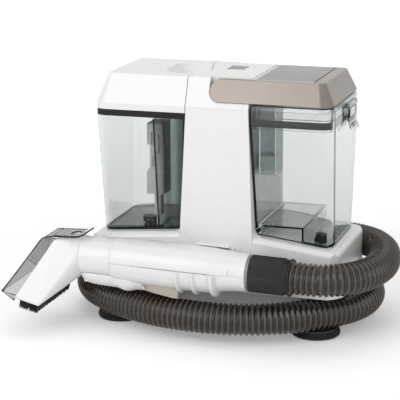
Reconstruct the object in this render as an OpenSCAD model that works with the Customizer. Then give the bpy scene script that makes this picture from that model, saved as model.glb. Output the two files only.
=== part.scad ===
// Portable spot extractor: a base with two side tanks round a column, a folding carry handle,
// a hand tool parked along the front and a ribbed hose wound round the base.
// Millimetres. X to the right, Y to the back, Z up. The pieces are drawn about the column's foot,
// and then placed so that the origin lies on the floor under the middle of the whole.

/* [Base] */
// Width of the base at the deck rim
base_w = 282; // [274:1:300]
// Depth of the base at the deck rim
base_d = 132; // [128:1:140]
// Corner radius of the base in plan
base_corner = 28; // [20:1:32]
// Height of the overhang's lower edge above the floor
skirt_z = 46.5; // [46:0.5:49]
// Height of the deck beside the column
deck_z = 109; // [104:1:114]
// Downward slope of the deck under the clean tank, degrees
slope_left = 4.7; // [3:0.1:6]
// Downward slope of the deck under the dirty tank, degrees
slope_right = 7; // [5:0.1:8]
// Radius of the rounded rim of the deck
rim_r = 7; // [4:1:8]
// Wall of the housing mouldings
wall = 2.6; // [2:0.1:3]

/* [Core and feet] */
// Half width of the narrow core that the hose winds round
core_half_w = 112; // [106:1:114]
// Half depth of the core
core_half_d = 42; // [38:1:44]
// Height of the feet
foot_h = 7.5; // [6:0.5:8]
// Radius of a foot disc
foot_r = 27; // [22:1:28]
// Foot centre, distance from the middle along X
foot_x = 113; // [104:1:114]
// Foot centre, distance from the middle along Y
foot_y = 46; // [40:1:47]

/* [Column] */
// Left edge of the column at the shoulder
column_left = -28; // [-32:1:-26]
// Left edge of the column at the deck
column_left_foot = -36; // [-40:1:-34]
// Right edge of the column at the shoulder
column_right = 42; // [40:1:45]
// Right edge of the column at the deck
column_right_foot = 46; // [44:1:48]
// Radius of the fillet from the column into the deck
column_fillet = 7; // [4:1:9]

/* [Crown] */
// Height of the sloping crown
crown_h = 31; // [28:1:34]
// Height of the top
top_z = 280; // [277:1:284]
// Half width of the crown at the shoulder
crown_half_w = 133.7; // [132:0.1:135]
// Half depth of the crown at the shoulder
crown_half_d = 67.7; // [66.5:0.1:69]
// Half width of the crown at the top
top_half_w = 121.7; // [118:0.1:124]
// Half depth of the crown at the top
top_half_d = 55; // [53:0.5:57]

/* [Tanks] */
// Half width over the tanks at the deck
tank_foot_half_w = 131.6; // [129:0.1:133]
// Half depth of the tanks at the deck
tank_foot_half_d = 53; // [50:1:56]
// Wall of a tank
tank_wall = 2.4; // [2:0.1:3]
// Vertical corner radius of a tank
tank_corner = 14; // [10:1:16]
// Depth of the clean tank's lid edge below the shoulder
lid_drop = 7; // [6:0.5:9]
// Height of the dark seal band
seal_h = 7; // [5:0.5:8]
// Depth of the dirty tank's split line below the shoulder
split_drop = 8; // [6:0.5:9]
// Rise of the clear lid's top face over the shoulder
clear_lid_rise = 5; // [3:0.5:5.5]
// Gap between a tank and the housing
tank_gap = 0.6; // [0.4:0.1:0.9]
// Gap between seated pieces that lift off
seat_gap = 0.3; // [0.2:0.05:0.4]

/* [Carry handle] */
// Pivot of the handle along X
pivot_x = 9; // [6:1:12]
// Depth of the handle's pivot below the top
pivot_drop = 13; // [12:0.5:14]
// Half height of the handle's band
band_half = 11.6; // [10:0.1:12]
// Inner face of the handle's arms, from the middle
arm_inner_y = 50; // [48:0.5:51]
// Inner face of the grip, along X
grip_inner_x = 110; // [108:1:112]
// Radius of a pivot pin
pin_r = 3; // [2:0.5:4]
// Radial running clearance of pins and shafts
run_gap = 0.05; // [0.03:0.01:0.08]

/* [Hand tool] */
// Distance of the tool's axis in front of the base
tool_reach = 29; // [28:0.5:31]
// Height of the tool's axis over the origin
wand_z = 79.7; // [78:0.1:81]
// Tilt of the tool's axis, degrees
wand_tilt = 1.65; // [1:0.05:2]
// Outer radius of the nozzle's neck
neck_r = 21; // [20:0.5:22]
// Largest radius of the upper shell
grip_r = 23.6; // [23:0.1:25]
// Radius of the lower shell between its rings
belly_r = 26.5; // [25.5:0.5:27]
// Radius over the finger rings
ring_r = 29.8; // [28.5:0.1:30]
// Radius at the tail, and of the swivel cuff
tail_r = 20; // [19:0.5:20.5]
// Wall of the tool's mouldings
tool_wall = 2.2; // [1.8:0.1:2.6]
// Length of the swivel cuff
cuff_len = 42; // [36:1:44]
// Number of grip flutes round the cuff
cuff_flutes = 48; // [36:4:60]

/* [Nozzle] */
// Width of the nozzle's mouth
mouth_w = 100; // [90:1:104]
// Thickness of the clear cover
cover_t = 2; // [1.6:0.1:2.4]
// Length of a bristle
bristle_len = 8; // [5:0.5:9]

/* [Hose] */
// Outer diameter of the hose
hose_od = 35; // [32:0.5:35]
// Bore of the hose
hose_bore = 27; // [24:0.5:28]
// Depth of the grooves between the ribs
rib_depth = 1.6; // [1:0.1:2]
// Number of ribs
hose_ribs = 148; // [120:4:200]

/* [Hidden] */
$fn = 48;
// Thickness of the bottom plate
plate_t = 2;
core_z = foot_h + plate_t;
core_corner = 22;
// Flare of the overhang below the rim
flare = 4;
flare_z = 66;
// Thin slice that a loft ends in
slice = 0.02;
deck_right_x = column_right_foot;
deck_left_x = column_left_foot;
rim_right_z = deck_z - (base_w / 2 - deck_right_x) * tan(slope_right);
rim_left_z = deck_z - (base_w / 2 + deck_left_x) * tan(slope_left);
shoulder_z = top_z - crown_h;
lid_z = shoulder_z - lid_drop;
split_z = shoulder_z - split_drop;
clear_lid_top = shoulder_z + clear_lid_rise;
pivot_z = top_z - pivot_drop;
wand_y = -base_d / 2 - tool_reach;
handle_low_z = pivot_z - band_half;
handle_top_z = pivot_z + band_half;
tank_rim_left_z = lid_z - seal_h;
panel_t = 2.6;
cuff_start = 54;
cuff_end = cuff_start + cuff_len;
tube_r = 16.5;
tube_bore = 13.5;
spigot_r = 17.9;
seam_u = -101;
shell_end_u = 51;
far = 400;

// ---- profiles and helpers ----

function arc(cx, cy, r, a0, a1, n = 6) =
    [for (i = [0:n]) [cx + r * cos(a0 + (a1 - a0) * i / n), cy + r * sin(a0 + (a1 - a0) * i / n)]];

// Rounded rectangle about the origin, with true arcs
module rounded(w, d, r) {
    square([w - 2 * r, d], center = true);
    square([w, d - 2 * r], center = true);
    for (x = [-1, 1], y = [-1, 1])
        translate([x * (w / 2 - r), y * (d / 2 - r)]) circle(r);
}

// Rounded slab from z0 to z1
module slab(w, d, r, z0, z1) {
    translate([0, 0, z0]) linear_extrude(z1 - z0) rounded(w, d, r);
}

// A profile in X and Z, drawn through from y0 to y1
module along_y(y0, y1) {
    translate([0, y1, 0]) rotate([90, 0, 0]) linear_extrude(y1 - y0) children();
}

// A profile in Y and Z, drawn through from x0 to x1
module along_x(x0, x1) {
    translate([x0, 0, 0]) rotate([90, 0, 90]) linear_extrude(x1 - x0) children();
}

// A block between two corners
module block(a, b) {
    translate(a) cube(b - a);
}

// A cylinder along Y through y0 and y1
module rod_y(x, z, y0, y1, r) {
    translate([x, y1, z]) rotate([90, 0, 0]) cylinder(r = r, h = y1 - y0);
}

// A cylinder along X through x0 and x1
module rod_x(y, z, x0, x1, r) {
    translate([x0, y, z]) rotate([0, 90, 0]) cylinder(r = r, h = x1 - x0);
}

// ---- base and column ----

// The rounding runs a little past the side walls, which then cut it
rim_lap = 0.15;
// One side of the base under its sloping deck, with the long edges rounded
module deck_side(side, inset) {
    slope = side > 0 ? slope_right : -slope_left;
    start = side > 0 ? deck_right_x : deck_left_x;
    half = base_d / 2 + flare;
    edge = base_d / 2 - inset - rim_r + rim_lap;
    intersection() {
        translate([start, 0, deck_z - inset]) rotate([0, slope, 0]) along_x(-far, far)
            polygon(concat([[-half, -far], [-half, -rim_r - flare]],
                arc(-edge, -rim_r, rim_r, 180, 90),
                arc(edge, -rim_r, rim_r, 90, 0),
                [[half, -rim_r - flare], [half, -far]]));
        block([side > 0 ? 0 : -far, -far, 0], [side > 0 ? far : 0, far, far]);
    }
}

// The base above its overhang, drawn in by inset
module base_form(inset) {
    edge = base_w / 2 - inset;
    side = base_d / 2 - inset;
    low = skirt_z + inset;
    intersection() {
        slab(base_w + 2 * flare + 1 - 2 * inset, base_d + 2 * flare + 1 - 2 * inset,
            base_corner - inset, low, far);
        along_y(-far, far)
            polygon(concat([[-edge - flare, low], [-edge, flare_z]],
                arc(-edge + rim_r, rim_left_z - inset - rim_r, rim_r, 180, 90),
                [[0, deck_z + 40]],
                arc(edge - rim_r, rim_right_z - inset - rim_r, rim_r, 90, 0),
                [[edge, flare_z], [edge + flare, low]]));
        along_x(-far, far)
            polygon([[-side - flare / 2, low], [-side, flare_z], [-side, far],
                [side, far], [side, flare_z], [side + flare / 2, low]]);
        union() {
            deck_side(1, inset);
            deck_side(-1, inset);
        }
    }
}

// The cavity of the base: flat walls clear of the rounded rim
rim_wall = 4;
module base_cavity() {
    edge = base_w / 2 - rim_wall;
    top = deck_z - wall;
    intersection() {
        slab(2 * edge, base_d - 2 * rim_wall, base_corner / 2, skirt_z + wall, far);
        along_y(-far, far)
            polygon([[-far, 0], [-far, top - (far + deck_left_x) * tan(slope_left)], [deck_left_x, top],
                [deck_right_x, top], [far, top - (far - deck_right_x) * tan(slope_right)], [far, 0]]);
    }
}

// The column up to the shoulder, drawn in by inset
module column_form(inset, low) {
    front_low = base_d / 2 - inset;
    front_top = crown_half_d - inset;
    intersection() {
        along_y(-far, far)
            polygon([[column_left_foot + inset, low], [column_left_foot + inset, deck_z],
                [column_left + inset, lid_z], [column_left + inset, shoulder_z],
                [column_right - inset, shoulder_z], [column_right_foot - inset, deck_z],
                [column_right_foot - inset, low]]);
        along_x(-far, far)
            polygon([[-front_low, low], [-front_low, flare_z], [-front_top, shoulder_z],
                [front_top, shoulder_z], [front_low, flare_z], [front_low, low]]);
    }
}

// Fillets from the column's sides into the deck
module column_fillets() {
    reach = base_d / 2 - rim_r;
    for (side = [-1, 1]) {
        x = side > 0 ? column_right_foot : column_left_foot;
        along_y(-reach, reach) difference() {
            translate([side > 0 ? x - 1 : x - column_fillet, deck_z - 3])
                square([column_fillet + 1, column_fillet + 3]);
            translate([x + side * column_fillet, deck_z + column_fillet]) circle(column_fillet);
        }
    }
}

// Places of the screws that hold the bottom plate
screw_spots = [[-76, -31], [76, -31], [-76, 31], [76, 31], [0, -34], [0, 34]];
screw_r = 1.5;
boss_r = 4.5;
// Rear opening of the column, closed by the vented cover
vent_x0 = -22;
vent_x1 = 32;
vent_z0 = deck_z + 13;
vent_z1 = shoulder_z - 21;
// Outlet of the clean tank into the deck
outlet_x = -84;
outlet_y = -28;
outlet_r = 6;
outlet_z = deck_z - (deck_left_x - outlet_x) * tan(slope_left);
outlet_seat = 2;
flow_r = 2.2;
// Suction port from the column to the clear lid
port_y = 18;
port_z = clear_lid_top - 7;
port_r = 5;

module main_housing() color("white") difference() {
    union() {
        difference() {
            union() {
                base_form(0);
                column_form(0, flare_z);
                column_fillets();
            }
            base_cavity();
            column_form(wall, skirt_z + 2 * wall);
            core_slab(wall, skirt_z - 1, skirt_z + wall + 1);
        }
        // pipe stub under the deck, below the clean tank's outlet
        translate([outlet_x, outlet_y, outlet_z - 4 * outlet_seat])
            cylinder(r = outlet_r + 4, h = 3 * outlet_seat);
    }
    // shallow seat for the outlet's rim, and the way down to the pump
    translate([outlet_x, outlet_y, outlet_z - outlet_seat]) cylinder(r = outlet_r + 2, h = 8);
    translate([outlet_x, outlet_y, outlet_z - 5 * outlet_seat]) cylinder(r = flow_r, h = 12);
    block([vent_x0, 40, vent_z0], [vent_x1, 90, vent_z1]);
    rod_x(port_y, port_z, column_right - 2 * wall, column_right + 20, port_r + run_gap);
    // hole for the cord inlet in the back
    rod_y(cord_x, cord_z, 50, 90, 6);
}

// Plan of the core, drawn in by inset, from z0 to z1
module core_slab(inset, z0, z1) {
    slab(2 * core_half_w - 2 * inset, 2 * core_half_d - 2 * inset, core_corner - inset, z0, z1);
}

// Lower tub that the hose winds round: a wall open above, with the bosses of the bottom screws
module core_tub() color("white") difference() {
    union() {
        difference() {
            core_slab(0, core_z, skirt_z);
            core_slab(wall, core_z - 1, skirt_z + 1);
        }
        for (p = screw_spots) {
            translate([p[0], p[1], core_z]) cylinder(r = boss_r, h = skirt_z - 4 - core_z);
            // web from the boss to the side of the tub
            block([p[0] - 1, p[1] > 0 ? p[1] : -core_half_d + 1, core_z + 2],
                [p[0] + 1, p[1] > 0 ? core_half_d - 1 : p[1], skirt_z - 6]);
        }
    }
    for (p = screw_spots)
        translate([p[0], p[1], core_z - 1]) cylinder(r = screw_r + run_gap, h = 22);
    rod_y(hose_port_x, hose_port_z, core_half_d - 8, core_half_d + 8, hose_bore / 2);
}

module bottom_plate() color("gainsboro") difference() {
    union() {
        slab(2 * core_half_w, 2 * core_half_d, core_corner, foot_h, core_z);
        for (x = [-1, 1], y = [-1, 1])
            translate([x * foot_x, y * foot_y, foot_h]) cylinder(r = foot_r - 3, h = plate_t);
    }
    for (p = screw_spots)
        translate([p[0], p[1], foot_h - 1]) cylinder(r = screw_r + run_gap, h = plate_t + 2);
    // cooling slots under the motor
    for (i = [-3:3])
        block([i * 8 - 2 + 6, -20, foot_h - 1], [i * 8 + 2 + 6, 20, core_z + 1]);
}

// Rubber foot: a broad disc with a drip groove
module foot(x, y) color("black") translate([foot_x * x, foot_y * y, 0]) rotate_extrude()
    polygon([[0, 0], [foot_r - 4, 0], [foot_r - 1, 1], [foot_r, 3], [foot_r, 4.5],
        [foot_r - 1.2, 5], [foot_r - 1.2, foot_h], [0, foot_h]]);

module base_screws() color("silver") for (p = screw_spots)
    translate([p[0], p[1], 0]) {
        translate([0, 0, foot_h - 1.4]) cylinder(r = 3, h = 1.4);
        translate([0, 0, foot_h - 0.5]) cylinder(r = screw_r, h = 18);
    }

// Skin of the column between two depths under its faces
module column_skin(outer, inner) {
    difference() {
        column_form(outer, flare_z);
        column_form(inner, flare_z - 1);
    }
}

// Vented cover in the column's back
cover_depth = 5.4;
module rear_cover() color("white") difference() {
    union() {
        intersection() {
            column_skin(seat_gap, cover_depth);
            block([vent_x0 + seat_gap, 0, vent_z0 + seat_gap], [vent_x1 - seat_gap, far, vent_z1 - seat_gap]);
        }
        // rim behind the column's wall
        intersection() {
            column_skin(wall + seat_gap, cover_depth);
            block([vent_x0 - 4, 0, vent_z0 - 4], [vent_x1 + 4, far, vent_z1 + 4]);
        }
    }
    for (i = [0:11])
        block([vent_x0 + 8, 0, vent_z0 + 12 + i * 7], [vent_x1 - 8, far, vent_z0 + 15 + i * 7]);
}

// Hose port: an elbow out of the back that turns along the base
hose_port_x = -24;
hose_port_z = 27.5;
hose_port_r = 17.4;
hose_socket_r = 20;
hose_end_x = 16;
hose_end_y = base_d / 2 + flare / 2 + hose_socket_r + 3;
cord_x = -96;
cord_z = 72;

module hose_port() color("white") difference() {
    union() {
        rod_y(hose_port_x, hose_port_z, core_half_d + seat_gap / 3, hose_end_y, hose_port_r);
        translate([hose_port_x, hose_end_y, hose_port_z]) sphere(hose_socket_r);
        rod_x(hose_end_y, hose_port_z, hose_port_x, hose_end_x, hose_socket_r);
    }
    rod_y(hose_port_x, hose_port_z, core_half_d - 1, hose_end_y, hose_bore / 2);
    rod_x(hose_end_y, hose_port_z, hose_port_x, hose_end_x + 1, hose_bore / 2);
}

// Inlet gland of the mains cord, left empty
module cord_inlet() color("dimgray") difference() {
    union() {
        rod_y(cord_x, cord_z, 60, base_d / 2 + 3, 5.9);
        rod_y(cord_x, cord_z, base_d / 2 + seat_gap, base_d / 2 + 3, 9);
    }
    rod_y(cord_x, cord_z, 50, 90, 3.6);
}

// ---- crown: one sloping form that the lid, the cap and the handle share ----

module crown(inset, low) {
    hull() {
        slab(2 * (crown_half_w - inset), 2 * (crown_half_d - inset), tank_corner - inset, low, low + slice);
        slab(2 * (crown_half_w - inset), 2 * (crown_half_d - inset), tank_corner - inset,
            shoulder_z - inset / 2, shoulder_z - inset / 2 + slice);
        slab(2 * (top_half_w - inset), 2 * (top_half_d - inset), 7, top_z - inset - slice, top_z - inset);
    }
}

// Finger recess in the top, shared by the lid and the cap
scoop_x = -41;
scoop_y = 1;
scoop_r = 30;
scoop_depth = 14;
scoop_half = 13;
module scoop(extra) {
    z = top_z + scoop_r - scoop_depth;
    rod_y(scoop_x, z, scoop_y - scoop_half, scoop_y + scoop_half, scoop_r + extra);
    for (s = [-1, 1])
        translate([scoop_x, scoop_y + s * scoop_half, z]) sphere(scoop_r + extra);
}

button_x0 = -3;
button_x1 = 17;
button_y0 = 2;
button_y1 = 29;
button_travel = 2;
button_gap = 0.25;
arm_pocket_y = arm_inner_y - seat_gap;
arm_end_x = grip_inner_x - 1.5;
arm_low_z = handle_low_z + 1;

// Top of the column with the arm that reaches over the dirty tank
module top_cap() color("white") difference() {
    union() {
        intersection() {
            crown(0, shoulder_z);
            block([column_left, -far, shoulder_z], [column_right, far, far]);
        }
        block([column_right - 1, -arm_pocket_y, arm_low_z], [arm_end_x, arm_pocket_y, handle_top_z]);
    }
    // hollow underside
    intersection() {
        crown(wall, shoulder_z - 1);
        block([column_left + wall, -arm_inner_y + 3, shoulder_z - 1], [column_right - wall, arm_inner_y - 3, far]);
        difference() {
            block([-far, -far, 0], [far, far, far]);
            scoop(wall);
            block([button_x0 - 3, button_y0 - 3, 0], [button_x1 + 3, button_y1 + 3, far]);
        }
    }
    block([column_right + 2, -arm_pocket_y + wall, arm_low_z - 1],
        [arm_end_x - wall, arm_pocket_y - wall, handle_top_z - panel_t - wall]);
    // seat of the roof panel
    block([column_right + 3, -arm_pocket_y + 1.6, handle_top_z - panel_t],
        [arm_end_x + 1, arm_pocket_y - 1.6, far]);
    // pockets that the handle's arms swing in
    for (s = [-1, 1]) {
        rod_y(pivot_x, pivot_z, s > 0 ? arm_pocket_y : -far, s > 0 ? far : -arm_pocket_y, band_half + 0.6);
        block([pivot_x, s > 0 ? arm_pocket_y : -far, handle_low_z - 0.6],
            [far, s > 0 ? far : -arm_pocket_y, far]);
        block([pivot_x - band_half - 0.6, s > 0 ? arm_pocket_y : -far, pivot_z],
            [pivot_x + 1, s > 0 ? far : -arm_pocket_y, far]);
        rod_y(pivot_x, pivot_z, s > 0 ? 44 : -arm_pocket_y - 1, s > 0 ? arm_pocket_y + 1 : -44, pin_r + 0.02);
    }
    scoop(0);
    rod_x(port_y, port_z, button_x1, column_right + 3, port_r + run_gap);
    block([button_x0, button_y0, shoulder_z], [button_x1, button_y1, far]);
    block([button_x0 - 2, button_y0 - 2, shoulder_z - 1], [button_x1 + 2, button_y1 + 2, top_z - wall - 2]);
}

module roof_panel() color("gray")
    block([column_right + 3 + seat_gap, -arm_pocket_y + 1.6 + seat_gap, handle_top_z - panel_t],
        [arm_end_x, arm_pocket_y - 1.6 - seat_gap, handle_top_z]);

module power_button() color("gray") {
    block([button_x0 + button_gap, button_y0 + button_gap, top_z - 12],
        [button_x1 - button_gap, button_y1 - button_gap, top_z - 0.6]);
    block([button_x0 - 1.5, button_y0 - 1.5, top_z - 12],
        [button_x1 + 1.5, button_y1 + 1.5, top_z - wall - 2.3]);
}

module handle_pins() color("silver") for (s = [-1, 1])
    rod_y(pivot_x, pivot_z, s > 0 ? 44.5 : -arm_inner_y - 7, s > 0 ? arm_inner_y + 7 : -44.5, pin_r);

// Folding carry handle: a band that carries the crown's slope round three sides
module carry_handle() color("rosybrown") difference() {
    union() {
        difference() {
            intersection() {
                crown(0, handle_low_z - 2);
                handle_outline(0);
            }
            block([-far, -arm_inner_y, 0], [grip_inner_x, arm_inner_y, far]);
            // hollow underside of the band
            difference() {
                intersection() {
                    crown(2.6, handle_low_z - 4);
                    handle_outline(2.4);
                    block([pivot_x + band_half, -far, 0], [far, far, handle_top_z - 3]);
                }
                block([-far, -arm_inner_y - 2.2, 0], [grip_inner_x + 2.2, arm_inner_y + 2.2, far]);
            }
            block([pivot_x + band_half, arm_inner_y + 2.2, handle_low_z - 1],
                [grip_inner_x - 8, arm_inner_y + 10, handle_low_z + 4]);
            block([pivot_x + band_half, -arm_inner_y - 10, handle_low_z - 1],
                [grip_inner_x - 8, -arm_inner_y - 2.2, handle_low_z + 4]);
        }
    }
    for (s = [-1, 1])
        rod_y(pivot_x, pivot_z, s > 0 ? arm_inner_y - 1 : -arm_inner_y - 7.5,
            s > 0 ? arm_inner_y + 7.5 : -arm_inner_y + 1, pin_r + run_gap);
}

// Side outline of the handle: round at the pivot, straight to the grip
module handle_outline(inset) {
    rod_y(pivot_x, pivot_z, -far, far, band_half - inset);
    block([pivot_x, -far, handle_low_z + (inset > 0 ? -2 : 0)], [far, far, handle_top_z - inset]);
}

// ---- clean side ----

// Tapering form of a tank between two heights; side is -1 for the clean tank, 1 for the dirty tank
module tank_form(side, inset, high, head = 0) {
    rim = side > 0 ? split_z : lid_z;
    slope = side > 0 ? slope_right : slope_left;
    foot_x0 = side > 0 ? column_right_foot : -column_left_foot;
    rim_x0 = side > 0 ? column_right : -column_left;
    wall_x0 = foot_x0 + tank_gap + inset;
    top_x0 = rim_x0 + tank_gap + inset + (side > 0 ? 0.3 : 0);
    floor_in = deck_z + seat_gap + inset;
    drop = (tank_foot_half_w - foot_x0) * tan(slope);
    corner = column_fillet + 0.5;
    arc_top = floor_in + corner;
    high_x0 = wall_x0 + (top_x0 - wall_x0) * (high - arc_top) / (rim - arc_top);
    intersection() {
        hull() {
            slab(2 * (crown_half_w - inset), 2 * (crown_half_d - inset), tank_corner - inset,
                high, high + slice);
            slab(2 * (crown_half_w - inset), 2 * (crown_half_d - inset), tank_corner - inset,
                rim - 8, rim - 8 + slice);
            slab(2 * (tank_foot_half_w - inset), 2 * (tank_foot_half_d - inset), tank_corner - inset,
                deck_z - drop, deck_z - drop + slice);
        }
        mirror([side < 0 ? 1 : 0, 0, 0]) along_y(-far, far)
            polygon(concat(head > 0 ? [[far, high + head], [high_x0, high + head]] : [[far, high]],
                [[high_x0, high]],
                arc(wall_x0 + corner, arc_top, corner, 180, 270),
                [[tank_foot_half_w - 6, floor_in - drop + 6 * tan(slope)],
                [tank_foot_half_w, floor_in - drop + 3], [far, floor_in - drop + 40]]));
    }
}

tower_x0 = -84;
tower_x1 = -64;
pocket_x = -66;
outlet_spout_r = 5.6;

module clean_tank() color("lightslategray", 0.4) difference() {
    union() {
        difference() {
            tank_form(-1, 0, tank_rim_left_z);
            tank_form(-1, tank_wall, tank_rim_left_z, 1);
        }
        // inner partition that carries the intake bracket
        intersection() {
            tank_form(-1, tank_wall - 0.4, tank_rim_left_z);
            difference() {
                block([pocket_x, -far, 0], [0, -10, tank_rim_left_z - 2]);
                block([pocket_x + 1.8, -far, 0], [0, -11.8, far]);
            }
        }
        // rim of the outlet under the floor
        translate([outlet_x, outlet_y, outlet_z - outlet_seat + seat_gap])
            cylinder(r = outlet_spout_r, h = outlet_seat + tank_wall / 2);
    }
    translate([outlet_x, outlet_y, outlet_z - outlet_seat]) cylinder(r = outlet_spout_r - 1.6, h = 8);
}

// Dark seal band between the clean tank and its lid
module tank_seal() color("black") difference() {
    tank_form(-1, 0.2, lid_z - seat_gap);
    tank_form(-1, tank_wall + 1.2, lid_z - seat_gap, 1);
    block([-far, -far, 0], [far, far, tank_rim_left_z]);
}

lid_gap = 0.8;
module clean_tank_lid() color("white") difference() {
    intersection() {
        crown(0, lid_z);
        block([-far, -far, lid_z], [column_left - lid_gap, far, far]);
    }
    intersection() {
        crown(wall, lid_z - 1);
        block([-far, -far, lid_z - 1], [column_left - lid_gap - wall, far, far]);
        difference() {
            block([-far, -far, 0], [far, far, far]);
            scoop(wall);
        }
    }
    scoop(0);
}

// Stepped grey bracket on the partition: intake guide with its lever
module intake_bracket() color("rosybrown") {
    y0 = -34;
    y1 = -8;
    x1 = pocket_x - seat_gap;
    high = lid_z - 20;
    low = deck_z + 33;
    difference() {
        union() {
            block([tower_x0, y0, high - 24], [x1, y1, high]);
            block([tower_x0 + 2, y0 + 3, low + 26], [x1, y1, high - 22]);
            hull() {
                block([tower_x0 - 1, y0, low], [x1, y1, low + 24]);
                block([tower_x0 + 1, y0 + 2, low], [x1, y1, low + 29]);
            }
        }
        block([tower_x0 + 5, y0 - 1, high - 36], [x1 - 4, y0 + 2.5, high - 10]);
        block([tower_x0 + 5, y0 + 2, low + 31], [x1 - 4, y0 + 5, low + 42]);
    }
    // lever in the notch
    block([tower_x0 + 7, y0 + 0.5, high - 33], [x1 - 6, y0 + 2.5, high - 13]);
    // drop leg down to the filter
    block([tower_x0 + 5, y0 + 8, filter_z + filter_h + seat_gap], [tower_x0 + 11, y1 - 6, low + 1]);
}

filter_z = outlet_z + tank_wall + seat_gap + 1.6;
filter_h = 6;
valve_z = outlet_z + tank_wall - 0.4;
module intake_filter() color("dimgray") difference() {
    translate([outlet_x, outlet_y, filter_z]) cylinder(r = 7.5, h = filter_h);
    translate([outlet_x, outlet_y, outlet_z]) cylinder(r = 5.2, h = 8);
    for (a = [0:45:315])
        translate([outlet_x, outlet_y, outlet_z + 5.6]) rotate([0, 0, a])
            block([4, -1, 0], [9, 1, 3]);
}

// Spring-loaded poppet that shuts the outlet when the tank is lifted
module outlet_valve() color("black") {
    translate([outlet_x, outlet_y, valve_z]) cylinder(r = 2, h = 3.6);
    translate([outlet_x, outlet_y, valve_z]) cylinder(r = outlet_spout_r - 1.65, h = 2);
}

// ---- dirty side ----

step_x = 100;
step_z = deck_z + 12;

module dirty_tank() color("lightslategray", 0.4) {
    difference() {
        tank_form(1, 0, split_z);
        difference() {
            tank_form(1, tank_wall, split_z, 1);
            block([0, -far, 0], [step_x, far, step_z]);
        }
        // the raised floor is open underneath
        block([deck_right_x + 6, tank_wall - tank_foot_half_d, 0],
            [step_x - tank_wall, tank_foot_half_d - tank_wall, step_z - tank_wall]);
    }
    // rib that the latch hooks on
    block([crown_half_w - 1, latch_y - latch_half + 4, split_z - 11],
        [latch_x, latch_y + latch_half - 4, split_z - 9]);
}

module dirty_tank_lid() color("lightslategray", 0.4) difference() {
    union() {
        difference() {
            intersection() {
                crown(0.2, split_z + seat_gap);
                block([column_right + tank_gap + 0.3, -far, split_z + seat_gap], [far, far, clear_lid_top]);
            }
            intersection() {
                crown(tank_wall, split_z);
                block([column_right + tank_gap + 0.3 + tank_wall, -far, 0], [far, far, clear_lid_top - tank_wall]);
            }
        }
        // skirt that plugs into the tank
        difference() {
            skirt_form(tank_wall + 1.4, clear_lid_top - 1);
            skirt_form(tank_wall + 3.2, clear_lid_top);
        }
        // ears of the latch
        for (s = [-1, 1])
            block([crown_half_w - 3.5, latch_y + s * (latch_half + 1.5) - 1.2, latch_z - 3],
                [latch_x + latch_barrel_r, latch_y + s * (latch_half + 1.5) + 1.2, latch_z + latch_barrel_r]);
    }
    rod_y(latch_x, latch_z, latch_y - 40, latch_y + 40, latch_pin_r + 0.02);
    rod_x(port_y, port_z, column_right, column_right + 6, port_r + 1);
}

module skirt_form(inset, high) {
    intersection() {
        hull() {
            slab(2 * (crown_half_w - inset), 2 * (crown_half_d - inset), tank_corner - inset,
                high - slice, high);
            slab(2 * (crown_half_w - inset - 0.4), 2 * (crown_half_d - inset - 0.8), tank_corner - inset,
                split_z - 13, split_z - 13 + slice);
        }
        block([column_right + tank_gap + inset + 0.8, -far, 0], [far, far, far]);
    }
}

module lid_gasket() color("black") difference() {
    intersection() {
        skirt_form(tank_wall + 0.5, split_z - 0.5);
        block([0, -far, split_z - 10], [far, far, split_z - 2.5]);
    }
    skirt_form(tank_wall + 1.4 - run_gap, clear_lid_top - 1);
}

duct_x0 = 49;
duct_x1 = 68;
duct_y0 = -50;
duct_y1 = -22;
duct_z = split_z - 65;

// Duct under the lid that throws the water down, with the float inside
module separator_duct() color("lightslategray", 0.5) difference() {
    block([duct_x0, duct_y0, duct_z], [duct_x1, duct_y1, clear_lid_top - tank_wall]);
    block([duct_x0 + 1.6, duct_y0 + 1.6, duct_z - 1], [duct_x1 - 1.6, duct_y1 - 1.6, clear_lid_top - tank_wall - 1.6]);
    block([duct_x0 - 1, duct_y0 + 8, split_z - 18], [duct_x0 + 3, duct_y1 - 4, split_z - 6]);
}

float_travel = 18;
module float_cup() color("whitesmoke") difference() {
    block([duct_x0 + 1.9, duct_y0 + 1.9, duct_z + 4], [duct_x1 - 1.9, duct_y1 - 1.9, duct_z + 20]);
    block([duct_x0 + 3.4, duct_y0 + 3.4, duct_z + 3], [duct_x1 - 3.4, duct_y1 - 3.4, duct_z + 18.5]);
}

module drain_plug() color("black") {
    x = tank_foot_half_w - 15.6;
    y = 12 - tank_foot_half_d;
    z = deck_z - (x - deck_right_x) * tan(slope_right) + seat_gap + tank_wall + 0.9;
    translate([x, y, z]) rotate([0, slope_right, 0]) {
        cylinder(r = 6, h = 9, $fn = 8);
        cylinder(r = 7, h = 2.5, $fn = 8);
    }
}

latch_y = 12;
latch_half = 16;
latch_barrel_r = 2;
latch_x = crown_half_w + latch_barrel_r + 0.1;
latch_z = split_z + 6.5;
latch_pin_r = 1;

// Clear over-centre clip with an out-curved lip
module lid_latch() color("lightslategray", 0.6) difference() {
    union() {
        along_y(latch_y - latch_half, latch_y + latch_half)
            translate([latch_x, latch_z]) polygon([[0.2, 0], [1.9, 0], [1.9, -15.5], [3, -21.5],
                [6.5, -28], [5, -29], [1.4, -23.5], [0.2, -18.5]]);
        rod_y(latch_x, latch_z, latch_y - latch_half, latch_y + latch_half, latch_barrel_r);
    }
    rod_y(latch_x, latch_z, latch_y - 40, latch_y + 40, latch_pin_r + run_gap);
}

module latch_pin() color("silver")
    rod_y(latch_x, latch_z, latch_y - latch_half - 2.6, latch_y + latch_half + 2.6, latch_pin_r);

// ---- inside the housing ----

motor_x = 6;
motor_r = 26;
motor_z0 = 30;
motor_z1 = 96;
shroud_top = 126;
fan_r = 23;
shaft_r = 3;

module motor_mount() color("black") difference() {
    translate([motor_x, 0, core_z]) cylinder(r = motor_r - 2, h = motor_z0 - core_z);
    translate([motor_x, 0, core_z - 1]) cylinder(r = motor_r - 9, h = motor_z0 - core_z + 2);
}

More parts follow.
